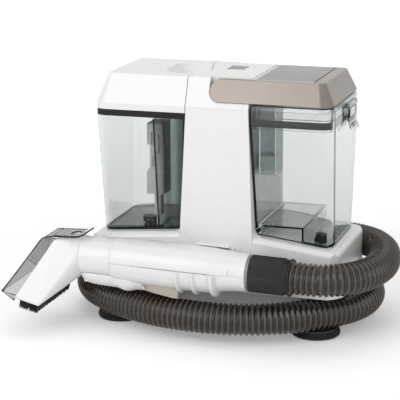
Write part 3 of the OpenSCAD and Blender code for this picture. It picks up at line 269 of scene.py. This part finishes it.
tinted = clear("tinted_clear", (0.52, 0.52, 0.515), rim=(0.22, 0.22, 0.22))
# Painted shade: dark clear for beads and lines that stand for the dark seen along clear edges.
edge_shade = clear("painted_edge_shade", (0.12, 0.14, 0.14), rough=0.08, rim=(0.02, 0.02, 0.02))


def metal(name, base, rough):
    m = Mat(name)
    m.set(Metallic=1.0)
    m.colour(m.ramp(m.noise(30.0, 3.0), (0.3, tuple(c * 0.93 for c in base)), (0.7, base)))
    m.roughness(m.range(m.noise(90.0, 4.0), 0.3, 0.7, *rough))
    m.normal(m.bump(m.noise(900.0, 2.0), 0.00001, 0.5, m.soften(0.0003)))
    return m.mat


steel = metal("steel", (0.60, 0.60, 0.62), (0.22, 0.36))


def bronze_paint():
    """Satin metallic champagne with fine brushing along the band."""
    m = Mat("bronze_handle")
    m.set(Metallic=0.85, Coat_Weight=0.25, Coat_Roughness=0.25)
    brushed = m.noise(1.0, 6.0, 0.7, m.stretch((25.0, 25.0, 900.0)))
    patch = m.noise(12.0, 3.0)
    mix = m.math("ADD", m.math("MULTIPLY", brushed, 0.6), m.math("MULTIPLY", patch, 0.4))
    m.colour(m.ramp(mix, (0.36, (0.200, 0.173, 0.147)), (0.64, (0.242, 0.214, 0.184))))
    m.roughness(m.range(brushed, 0.3, 0.7, 0.28, 0.42))
    m.normal(m.bump(brushed, 0.00002, 0.5, m.soften(0.0008)))
    return m.mat


bronze = bronze_paint()


def hose_plastic(name, shade):
    """Dark brown hose wall with a slight coat of gloss."""
    m = Mat(name)
    m.set(Specular_IOR_Level=0.35, Coat_Weight=0.2, Coat_Roughness=0.12)
    patch = m.noise(35.0, 4.0)
    m.colour(m.ramp(patch, (0.3, tuple(c * 0.8 for c in shade)), (0.7, shade)))
    m.roughness(m.range(m.noise(120.0, 3.0), 0.3, 0.7, 0.22, 0.34))
    m.normal(m.bump(m.noise(500.0, 2.0), 0.00003, 0.5))
    return m.mat


hose_mat = hose_plastic("hose_groove", (0.018, 0.012, 0.009))
# A lighter brown on the rib crests: painted highlight.
crest_highlight_mat = hose_plastic("hose_crest_highlight", (0.085, 0.061, 0.046))

LOOKS = {
    white: "main_housing core_tub rear_cover top_cap wand_clip wand_cradle hose_port clean_tank_lid "
           "wand_upper_shell wand_lower_shell nozzle_body",
    grey: "roof_panel power_button",
    bronze: "carry_handle",
    smoke: "dirty_tank dirty_tank_lid lid_latch",
    left_smoke: "clean_tank",
    teal: "separator_duct",
    tinted: "nozzle_cover",
    rubber: "foot_front_left foot_front_right foot_rear_left foot_rear_right tank_seal lid_gasket "
            "drain_plug outlet_valve",
    dark: "motor_mount fan_shroud air_duct water_pump bottom_plate cord_inlet intake_filter spray_tip",
    black: "swivel_cuff nozzle_brush",
    steel: "base_screws handle_pins latch_pin trigger_pin spray_valve vacuum_motor",
    greige: "trigger",
    bracket_grey: "intake_bracket",
    inner: "fan_impeller float_cup suction_tube",
    board: "control_board",
}


def dress_solids():
    for mat, names in LOOKS.items():
        for name in names.split():
            data = nodes[name].data
            data.materials.clear()
            data.materials.append(mat)


dress_solids()


# ---- mesh helpers ----
def new_object(name, bm, mat, body, smooth=True):
    mesh = bpy.data.meshes.new(name)
    bm.to_mesh(mesh)
    bm.free()
    obj = bpy.data.objects.new(name, mesh)
    scene.collection.objects.link(obj)
    mesh.materials.append(mat)
    for p in mesh.polygons:
        p.use_smooth = smooth
    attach(obj, body)
    return obj


def tube(bm, points, radius, closed=False, sides=10):
    """A round bead along points, in metres."""
    pts = [Vector(p) for p in points]
    rings = []
    for i, p in enumerate(pts):
        before = pts[i - 1] if closed or i else p
        after = pts[(i + 1) % len(pts)] if closed or i + 1 < len(pts) else p
        t = (after - before).normalized()
        u = t.cross(Vector((0, 0, 1)) if abs(t.z) < 0.8 else Vector((0, 1, 0))).normalized()
        v = u.cross(t)
        rings.append([bm.verts.new(p + radius * (u * math.cos(a) + v * math.sin(a)))
                      for a in (2 * math.pi * k / sides for k in range(sides))])
    ends = rings[1:] + rings[:1] if closed else rings[1:]
    for ring, nxt in zip(rings, ends):
        for k in range(sides):
            j = (k + 1) % sides
            bm.faces.new((ring[k], nxt[k], nxt[j], ring[j]))
    if not closed:
        bm.faces.new(rings[0])
        bm.faces.new(list(reversed(rings[-1])))


def block(bm, lo, hi, place):
    """A box between two corners, each of its own corners put down by place."""
    corner = {(a, b, c): bm.verts.new(place((lo, hi)[a][0], (lo, hi)[b][1], (lo, hi)[c][2]))
              for a in (0, 1) for b in (0, 1) for c in (0, 1)}
    for axis in range(3):
        for side in (0, 1):
            loop = [[0, 0], [1, 0], [1, 1], [0, 1]]
            for key in loop:
                key.insert(axis, side)
            bm.faces.new([corner[tuple(key)] for key in loop])


def join_rings(bm, rings):
    """Faces between rings of equal counts, each closed on itself, and a cap on both ends."""
    for ring, nxt in zip(rings, rings[1:]):
        for k in range(len(ring)):
            j = (k + 1) % len(ring)
            bm.faces.new((ring[k], ring[j], nxt[j], nxt[k]))
    bm.faces.new(rings[0])
    bm.faces.new(list(reversed(rings[-1])))


# ---- hose ----
HOSE_OD, RIB_DEPTH, RIBS, HOSE_SIDES = 0.035, 0.0022, 212, 40
# How far each ring of one rib stands out of the groove, and which rings start a strip of painted highlight
# along the crest
RIB_PROFILE = [0.0, 0.15, 0.8, 1.0, 0.8, 0.15]
HIGHLIGHT_RINGS = (2, 3)
LEAVES_TOOL, ENTERS_PORT = (0.99959, 0, -0.02879), (-1, 0, 0)
CURVE_STEPS = 40
# The source's route, drawn in by up to 1.7 mm at the right and the back, so that the ribs keep
# inside the solids' box
ROUTE = [(97, -95, 76.9), (114, -95, 76.4), (131, -93, 76), (150, -82, 75.5), (165.4, -62, 75),
         (174.8, -36, 74.5), (178.3, -8, 74), (174.8, 22, 74), (166.2, 50, 74), (148.5, 76, 74),
         (121, 92, 74), (88, 96.8, 74), (45, 98.4, 74), (0, 98.5, 73), (-45, 98.4, 72), (-88, 97.6, 69),
         (-125, 92, 63), (-155, 71, 54), (-167, 40, 44), (-167, 8, 34), (-160, -18, 29), (-146, -40, 27.5),
         (-128, -57, 27.5), (-104, -74, 27.5), (-74, -90, 27.5), (-40, -101, 27.5), (0, -106, 27.5),
         (36, -104, 27.5), (70, -93, 27.5), (104, -72, 27.5), (132, -46, 27.5), (150, -18, 27.5),
         (157, 14, 27.5), (152, 46, 27.5), (134, 72, 27.5), (106, 88, 27.5), (76, 91, 27.5),
         (52, 91, 27.5), (16, 91, 27.5)]


def spline(points, count):
    """Points along a Catmull-Rom curve, evenly spaced, as the part's source has it."""
    pts = [np.array(p, float) for p in points]
    pts = [2 * pts[0] - pts[1]] + pts + [2 * pts[-1] - pts[-2]]
    fine = []
    for i in range(1, len(pts) - 2):
        p0, p1, p2, p3 = pts[i - 1:i + 3]
        for k in range(CURVE_STEPS):
            f = k / CURVE_STEPS
            fine.append(0.5 * (2 * p1 + (p2 - p0) * f + (2 * p0 - 5 * p1 + 4 * p2 - p3) * f * f
                               + (3 * p1 - p0 - 3 * p2 + p3) * f ** 3))
    fine.append(pts[-2])
    fine = np.array(fine)
    s = np.concatenate([[0], np.cumsum(np.linalg.norm(np.diff(fine, axis=0), axis=1))])
    want = np.linspace(0, s[-1], count)
    return np.stack([np.interp(want, s, fine[:, k]) for k in range(3)], 1), s[-1]


def ribbed_hose():
    per_rib = len(RIB_PROFILE)
    count = RIBS * per_rib + 1
    centre, length = spline(ROUTE, count)
    centre = (centre + np.array(SHIFT)) * MM
    tangent = np.gradient(centre, axis=0)
    tangent[0], tangent[-1] = LEAVES_TOOL, ENTERS_PORT
    tangent /= np.linalg.norm(tangent, axis=1)[:, None]
    side = np.cross(tangent, (0, 0, 1.0))
    side /= np.linalg.norm(side, axis=1)[:, None]
    above = np.cross(side, tangent)
    bm = bmesh.new()
    rings = []
    for i in range(count):
        r = HOSE_OD / 2 - RIB_DEPTH * (1 - RIB_PROFILE[i % per_rib])
        ring = []
        for k in range(HOSE_SIDES):
            a = 2 * math.pi * k / HOSE_SIDES
            ring.append(bm.verts.new(centre[i] + r * (math.cos(a) * side[i] + math.sin(a) * above[i])))
        rings.append(ring)
    for i, (ring, nxt) in enumerate(zip(rings, rings[1:])):
        for k in range(HOSE_SIDES):
            j = (k + 1) % HOSE_SIDES
            face = bm.faces.new((ring[k], nxt[k], nxt[j], ring[j]))
            # The crest strips take the painted highlight.
            face.material_index = 1 if i % per_rib in HIGHLIGHT_RINGS else 0
    bm.faces.new(rings[0])
    bm.faces.new(list(reversed(rings[-1])))
    bmesh.ops.recalc_face_normals(bm, faces=bm.faces)
    obj = new_object("ribbed_hose", bm, hose_mat, "root")
    obj.data.materials.append(crest_highlight_mat)
    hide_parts("hose")


ribbed_hose()


# ---- painted shade along the edges of the clear tanks ----
# How each tank's foot rises along X
FOOT_SLOPES = {"clean_tank": math.tan(math.radians(4.7)), "dirty_tank": -math.tan(math.radians(7.0))}
FOOT_CORNER, FOOT_BAND = 0.0005, 0.0025
BEAD_R, BEAD_LIFT, BEAD_INSET = 0.0008, 0.0013, 0.0006


def half_hull(points):
    """Half of the convex hull of sorted points, without its last point."""
    hull = []
    for p in points:
        while len(hull) > 1 and ((hull[-1][0] - hull[-2][0]) * (p[1] - hull[-2][1])
                                 - (hull[-1][1] - hull[-2][1]) * (p[0] - hull[-2][0])) <= 0:
            hull.pop()
        hull.append(p)
    return hull[:-1]


def foot_outline(node):
    """Outline of a tank's sloping foot, a little above it, from the lowest part of its walls."""
    slope = FOOT_SLOPES[node]
    points = sorted({tuple(round(c, 5) for c in v.co) for v in nodes[node].data.vertices})
    bottom = min(z for x, y, z in points)
    lowest = [x for x, y, z in points if z < bottom + FOOT_CORNER]
    x_low = min(lowest) if slope > 0 else max(lowest)
    near = sorted({(x, y) for x, y, z in points if z - bottom - (x - x_low) * slope < FOOT_BAND})
    ring = half_hull(near) + half_hull(near[::-1])
    return [(x, y, bottom + (x - x_low) * slope + BEAD_LIFT) for x, y in ring]


def tank_foot_shade():
    """A dark bead inside the thick outer edge of each clear tank's foot: painted shade where the moulding
    reads dark.
    """
    for node, body in (("clean_tank", "clean_body"), ("dirty_tank", "dirty_body")):
        ring = foot_outline(node)
        mid_x = sum(p[0] for p in ring) / len(ring)
        mid_y = sum(p[1] for p in ring) / len(ring)
        pulled = [(x + math.copysign(BEAD_INSET, mid_x - x), y + math.copysign(BEAD_INSET, mid_y - y), z)
                  for x, y, z in ring]
        bm = bmesh.new()
        tube(bm, pulled, BEAD_R, closed=True)
        new_object(node + "_foot_edge_shade", bm, edge_shade, body)


tank_foot_shade()


# ---- the hand tool: bristles, clear cover, keel and collar ----
# The tool lies along X, tilted down to the right
TOOL_Y, TOOL_Z = -95, 79.7
WAND_TILT = math.radians(1.65)


def on_wand(u, v, w):
    """A point of the hand tool, along its axis, across it and above it, in the row frame."""
    c, s = math.cos(WAND_TILT), math.sin(WAND_TILT)
    return at(u * c + w * s, TOOL_Y + v, TOOL_Z - u * s + w * c)


# Front and back edge of the nozzle's mouth, in X and Z
MOUTH_FRONT, MOUTH_BACK = (-199, 43.5), (-172.5, 37)
MOUTH_SLOPE = math.atan((MOUTH_FRONT[1] - MOUTH_BACK[1]) / (MOUTH_BACK[0] - MOUTH_FRONT[0]))


def on_mouth(x, y, z):
    """A point from the mouth's front edge: back along the mouth, across it and up from it."""
    c, s = math.cos(MOUTH_SLOPE), math.sin(MOUTH_SLOPE)
    return at(MOUTH_FRONT[0] + x * c + z * s, TOOL_Y + y, MOUTH_FRONT[1] - x * s + z * c)


STRIP_LO, STRIP_HI = (3.5, -48, -2.4), (27, 48, -1)
ROW_PLACES, ROW_COUNT, ROW_PITCH, ROW_STAGGER = (17.0, 19.0, 21.0, 23.0, 25.0), 89, 1.06, 0.25
TUFT_COUNTS, TUFT_START, TUFT_PITCH = (7, 8), (5.0, 46.2), (1.5, 1.4)
BRISTLE_ROOT, BRISTLE_LENGTH, BRISTLE_LEAN = -1.8, 10.2, 0.45
# Share of the length, share of the lean and radius there
BRISTLE_TAPER = ((0, 0, 0.62), (0.6, 0.5, 0.58), (1, 1, 0.3))
PENTAGON = (0.4, 1.66, 2.91, 4.17, 5.43)


def bristle_spots():
    """Where bristles stand: staggered rows along the back of the mouth, and a tuft at each end."""
    first = (ROW_COUNT - 1) // 2
    spots = [(x, (i - first) * ROW_PITCH + ROW_STAGGER * k)
             for k, x in enumerate(ROW_PLACES) for i in range(ROW_COUNT)]
    spots += [(TUFT_START[0] + TUFT_PITCH[0] * k, end * (TUFT_START[1] - TUFT_PITCH[1] * i))
              for end in (-1, 1) for i in range(TUFT_COUNTS[1]) for k in range(TUFT_COUNTS[0])]
    return spots


def bristles():
    """Stiff tapering bristles, each leaning its own way, in a moulded strip."""
    rng = np.random.default_rng(7)
    bm = bmesh.new()
    for x, y in bristle_spots():
        lean = rng.uniform(-BRISTLE_LEAN, BRISTLE_LEAN, 2)
        length = BRISTLE_LENGTH + rng.uniform(-0.9, 0.5)
        rings = []
        for share, bend, r in BRISTLE_TAPER:
            cx, cy, z = x + lean[0] * bend, y + lean[1] * bend, BRISTLE_ROOT - share * length
            rings.append([bm.verts.new(on_mouth(cx + r * math.cos(a), cy + r * math.sin(a), z))
                          for a in PENTAGON])
        join_rings(bm, rings)
    block(bm, STRIP_LO, STRIP_HI, on_mouth)
    bmesh.ops.recalc_face_normals(bm, faces=bm.faces)
    obj = new_object("bristle_rows", bm, black, "nozzle")
    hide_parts("nozzle_brush")


bristles()


# Stations down the clear cover: front corner and rear edge in X and Z, and half width
COVER = [((-168.5, 106.4), (-163.5, 103.6), 18.6), ((-176.0, 105.4), (-165.0, 101.4), 19.4),
         ((-179.6, 103.8), (-166.2, 99.6), 20.0), ((-182.0, 101.0), (-167.8, 97.0), 21.2),
         ((-216.2, 49.4), (-199.2, 45.0), 49.6)]
COVER_LIP = (-201.4, 39.6)
COVER_WALL, COVER_CORNER, COVER_STEPS = 2.0, 3.0, 8
COVER_HALF = COVER[-1][2]
TAB_Z, TAB_THICK, TAB_CURL = 105.2, 2.0, 6.2


def by_tool(x, y, z):
    """A point in millimetres, with y measured from the tool's middle plane."""
    return at(x, TOOL_Y + y, z)


def cover_section(bm, front, rear, half, inset):
    """Wall, rounded corner, front plate, rounded corner, wall, all taken in by inset."""
    span = math.hypot(rear[0] - front[0], rear[1] - front[1])
    ux, uz = (rear[0] - front[0]) / span, (rear[1] - front[1]) / span
    fx, fz, h = front[0] + ux * inset, front[1] + uz * inset, half - inset
    r = COVER_CORNER - inset * 0.8
    ring = [(*rear, -h)]
    for s, arc in ((-1, range(0, 91, 18)), (1, range(90, -1, -18))):
        for a in arc:
            t = math.radians(a)
            back_off, y = r * (1 - math.sin(t)), h - r * (1 - math.cos(t))
            ring.append((fx + ux * back_off, fz + uz * back_off, s * y))
    ring.append((*rear, h))
    return [bm.verts.new(by_tool(x, y, z)) for x, z, y in ring]


def cover_bonnet(bm):
    """Front plate with two side walls, open behind, and the lip that ends each wall."""
    (front, rear, half), (end_front, end_rear, end_half) = COVER[3:]
    stations = COVER[:4]
    for k in range(1, COVER_STEPS + 1):
        f = k / COVER_STEPS
        mid_front = tuple(p + (q - p) * f for p, q in zip(front, end_front))
        mid_rear = tuple(p + (q - p) * f for p, q in zip(rear, end_rear))
        stations = stations + [(mid_front, mid_rear, half + (end_half - half) * f)]
    outer = [cover_section(bm, *st, 0.0) for st in stations]
    inner = [cover_section(bm, *st, COVER_WALL) for st in stations]
    last = len(outer[0]) - 1
    for i in range(len(stations) - 1):
        for k in range(last):
            bm.faces.new((outer[i][k], outer[i][k + 1], outer[i + 1][k + 1], outer[i + 1][k]))
            bm.faces.new((inner[i][k], inner[i + 1][k], inner[i + 1][k + 1], inner[i][k + 1]))
        for k in (0, last):
            bm.faces.new((outer[i][k], outer[i + 1][k], inner[i + 1][k], inner[i][k]))
    for i in (0, len(stations) - 1):
        for k in range(last):
            bm.faces.new((outer[i][k], inner[i][k], inner[i][k + 1], outer[i][k + 1]))
    for s in (-1, 1):
        corners = [end_front, COVER_LIP, end_rear]
        two = [[bm.verts.new(by_tool(x, s * y, z - 0.05)) for x, z in corners]
               for y in (COVER_HALF, COVER_HALF - COVER_WALL)]
        bm.faces.new(two[0])
        bm.faces.new(two[1][::-1])
        for k in range(3):
            bm.faces.new((two[0][k], two[0][(k + 1) % 3], two[1][(k + 1) % 3], two[1][k]))


def tab_z(x):
    """Height of the tab's underside, which curls up at the tip."""
    return TAB_Z + TAB_CURL * max(0.0, (x + 151) / 22.5) ** 3


def tab_rim():
    quarter = [math.pi / 2 * k / 8 for k in range(9)]
    near = [(-166.5, -15.5)] + [(-137.5 + 9 * math.sin(t), -6.5 - 9 * math.cos(t)) for t in quarter]
    return near + [(x, -y) for x, y in reversed(near)]


def tab_hole():
    """Oval hole: two half rounds, drawn apart across the tab."""
    turns = [2 * math.pi * (k + 0.5) / 28 for k in range(28)]
    return [(-146 + 5.2 * math.cos(t), math.copysign(3.2, math.sin(t)) + 5.2 * math.sin(t))
            for t in turns]


def cover_tab(bm):
    """Finger tab with its hole."""
    layers = []
    for dz in (0.0, TAB_THICK):
        loops, edges = [], []
        for loop in (tab_rim(), tab_hole()):
            vs = [bm.verts.new(by_tool(x, y, tab_z(x) + dz)) for x, y in loop]
            loops.append(vs)
            edges += [bm.edges.new((vs[k], vs[(k + 1) % len(vs)])) for k in range(len(vs))]
        bmesh.ops.triangle_fill(bm, edges=edges, use_beauty=True)
        layers.append(loops)
    for low, high in zip(*layers):
        for k in range(len(low)):
            m = (k + 1) % len(low)
            bm.faces.new((low[k], low[m], high[m], high[k]))


def cover_edge_shade(bm):
    """Dark lines along the clear cover's edges, inside its walls: painted shade."""
    end_front, end_rear, end_half = COVER[-1]
    corner = [(f[0] + 0.7, f[1] - 0.4, h) for f, r, h in COVER]
    corner += [(*COVER_LIP, end_half), (*end_rear, end_half)]
    rear = [(*COVER[0][1], COVER[0][2]), (*end_rear, end_half)]
    tab_mid = TAB_THICK / 2
    for s in (-1, 1):
        tube(bm, [by_tool(x, s * (y - 0.9), z) for x, z, y in corner], 0.0008)
        tube(bm, [by_tool(x, s * (y - 0.6), z) for x, z, y in rear], 0.0004)
        tube(bm, [by_tool(x, s * 14.8, tab_z(x) + tab_mid)
                  for x in (-166, -158, -151, -146, -141, -138)], 0.0009)
    tube(bm, [by_tool(end_front[0] + 0.8, y, end_front[1] - 0.2) for y in (-48, -20, 20, 48)], 0.0009)
    tube(bm, [by_tool(x, y, tab_z(x) + tab_mid) for x, y in tab_hole()], 0.0006, closed=True, sides=8)
    tube(bm, [by_tool(x - 0.5, y, tab_z(x) + tab_mid) for x, y in tab_rim()[2:-2]], 0.0007, sides=8)


def clear_cover():
    """Clear bonnet over the suction channel, with its finger tab."""
    bm = bmesh.new()
    cover_bonnet(bm)
    cover_tab(bm)
    bmesh.ops.recalc_face_normals(bm, faces=bm.faces)
    obj = new_object("clear_cover_shell", bm, tinted, "clear_cover", smooth=False)
    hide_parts("nozzle_cover")
    bm = bmesh.new()
    # The cover's painted edge shade.
    cover_edge_shade(bm)
    new_object("clear_cover_edge_shade", bm, edge_shade, "clear_cover")


clear_cover()


# The keel's depth below the cradle, along the tool
KEEL = [(-137.5, 1.0), (-136, 5.6), (-133, 8.6), (-127, 10.4), (-118, 11.2), (-105, 11.6), (-90, 11.9),
        (-76, 12.0), (-68, 11.6), (-62, 10.2), (-58, 8.0), (-55, 5.2), (-53, 2.4)]
KEEL_TOP_R, KEEL_HALF, KEEL_STEPS = 21.35, 13.6, 20


def tool_belly():
    """Smooth keel under the neck and grip, over the post that carries the tool."""
    bm = bmesh.new()
    rings = []
    for u, depth in KEEL:
        half = KEEL_HALF * min(1.0, 0.72 + depth / 30)
        vs = [half * math.cos(math.pi * k / KEEL_STEPS) for k in range(KEEL_STEPS + 1)]
        upper = [(v, -math.sqrt(KEEL_TOP_R ** 2 - v * v)) for v in vs]
        lower = [(v, w - depth * (1 - (v / half) ** 2 * 0.999999) ** 0.4) for v, w in upper]
        rings.append([bm.verts.new(on_wand(u, v, w)) for v, w in upper + lower[::-1][1:-1]])
    join_rings(bm, rings)
    bmesh.ops.recalc_face_normals(bm, faces=bm.faces)
    new_object("tool_belly", bm, white, "root")


tool_belly()


# ---- the dirty tank's latch ----
LATCH_CORNER = 0.004


def latch_details():
    """Raised rim and grip ribs on the clear lid's latch, dark with painted edge shade, and the knuckles
    that its pin runs in.
    """
    lo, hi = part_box("lid_latch")
    x, y0, y1 = hi[0] - 0.0052, lo[1] + 0.0012, hi[1] - 0.0012
    z1, z0 = hi[2] - 0.0055, hi[2] - 0.0165
    r = LATCH_CORNER
    bm = bmesh.new()
    loop = []
    for cy, cz, start in ((y1 - r, z1 - r, 0), (y0 + r, z1 - r, 90),
                          (y0 + r, z0 + r, 180), (y1 - r, z0 + r, 270)):
        for a in range(start, start + 91, 15):
            loop.append((x, cy + r * math.cos(math.radians(a)), cz + r * math.sin(math.radians(a))))
    tube(bm, loop, 0.001, closed=True)
    for k in range(3):
        rib_x, rib_z = x + 0.0004 + 0.0012 * k, hi[2] - 0.0205 - 0.0026 * k
        tube(bm, [(rib_x, y0 + 0.003, rib_z), (rib_x, y1 - 0.003, rib_z)], 0.0007)
    # The rim and ribs take the painted edge shade.
    new_object("latch_rim", bm, edge_shade, "latch")
    pin_lo, pin_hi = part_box("latch_pin")
    pin_x, pin_z = (pin_lo[0] + pin_hi[0]) / 2, (pin_lo[2] + pin_hi[2]) / 2
    gap, width = 0.0005, 0.0026
    bm = bmesh.new()
    for near, far in ((lo[1] - gap - width, lo[1] - gap), (hi[1] + gap, hi[1] + gap + width)):
        tube(bm, [(pin_x, near, pin_z), (pin_x, far, pin_z)], 0.0024, sides=24)
    new_object("latch_knuckles", bm, smoke, "dirty_body")


latch_details()


def cuff_ring():
    """Black collar where the hose leaves the swivel cuff."""
    place, radius, sides = 97.6, 19.2, 48
    bm = bmesh.new()
    ring = [on_wand(place, radius * math.cos(a), radius * math.sin(a))
            for a in (2 * math.pi * k / sides for k in range(sides))]
    tube(bm, ring, 0.0012, closed=True, sides=12)
    new_object("cuff_collar", bm, black, "cuff")


cuff_ring()


# ---- floor and light ----
# The paper's glow near the part, and further off, where the lamps fade; distances in metres
PAPER_GLOW, PAPER_FAR_GLOW = 0.24, 0.7
PAPER_NEAR, PAPER_FAR = 0.4, 1.6
FLOOR_HALF = 3.0
WORLD_LIGHT = 0.55


def to_the_eye(tree):
    """1 where a ray comes from the camera, straight or off gloss or through clear plastic."""
    path = tree.nodes.new("ShaderNodeLightPath")
    total = path.outputs["Is Camera Ray"]
    for ray in ("Is Glossy Ray", "Is Transmission Ray"):
        either = tree.nodes.new("ShaderNodeMath")
        either.operation = "MAXIMUM"
        tree.links.new(total, either.inputs[0])
        tree.links.new(path.outputs[ray], either.inputs[1])
        total = either.outputs[0]
    return total


def studio_paper():
    """White paper: lit enough to read as white, with the shadow of the part left on it."""
    m = Mat("paper")
    m.set(Roughness=0.8)
    m.colour(m.ramp(m.noise(3.0, 2.0), (0.3, (0.90, 0.90, 0.90)), (0.7, (0.92, 0.92, 0.92))))
    away = m.node("ShaderNodeVectorMath", operation="LENGTH")
    m.link(m.coords, away.inputs[0])
    level = m.range(away.outputs["Value"], PAPER_NEAR, PAPER_FAR, PAPER_GLOW, PAPER_FAR_GLOW)
    glow = m.node("ShaderNodeEmission")
    glow.inputs["Color"].default_value = (1, 1, 1, 1)
    m.link(m.math("MULTIPLY", to_the_eye(m.tree), level), glow.inputs["Strength"])
    both = m.node("ShaderNodeAddShader")
    m.link(m.bsdf.outputs[0], both.inputs[0])
    m.link(glow.outputs[0], both.inputs[1])
    m.link(both.outputs[0], m.out.inputs["Surface"])
    return m.mat


def stage_floor():
    bm = bmesh.new()
    corners = [bm.verts.new((x * FLOOR_HALF, y * FLOOR_HALF, 0.0))
               for x, y in ((-1, -1), (1, -1), (1, 1), (-1, 1))]
    bm.faces.new(corners)
    mesh = bpy.data.meshes.new("floor")
    bm.to_mesh(mesh)
    bm.free()
    floor = bpy.data.objects.new("floor", mesh)
    scene.collection.objects.link(floor)
    mesh.materials.append(studio_paper())


stage_floor()


def white_world():
    """White to the eye, and a dimmer, even light on the part."""
    world = bpy.data.worlds.new("world")
    scene.world = world
    world.use_nodes = True
    tree = world.node_tree
    sky = tree.nodes["Background"]
    sky.inputs["Color"].default_value = (1, 1, 1, 1)
    level = tree.nodes.new("ShaderNodeMapRange")
    level.inputs["To Min"].default_value = WORLD_LIGHT
    level.inputs["To Max"].default_value = 1.0
    tree.links.new(to_the_eye(tree), level.inputs["Value"])
    tree.links.new(level.outputs[0], sky.inputs["Strength"])


white_world()


def softbox(name, place, look, side, power):
    """Square area lamp at place, facing look: metres and watts."""
    data = bpy.data.lights.new(name, "AREA")
    data.shape, data.size, data.size_y, data.energy = "RECTANGLE", side, side, power
    obj = bpy.data.objects.new(name, data)
    scene.collection.objects.link(obj)
    obj.location = place
    obj.rotation_euler = (Vector(look) - Vector(place)).to_track_quat("-Z", "Y").to_euler()


softbox("key", (-0.9, -1.7, 1.2), (0, 0, 0.15), 1.4, 17)
softbox("fill", (1.5, -1.3, 0.7), (0, 0, 0.15), 1.2, 7)
softbox("top", (0.1, 0.3, 2.0), (0, 0, 0.1), 1.6, 6)
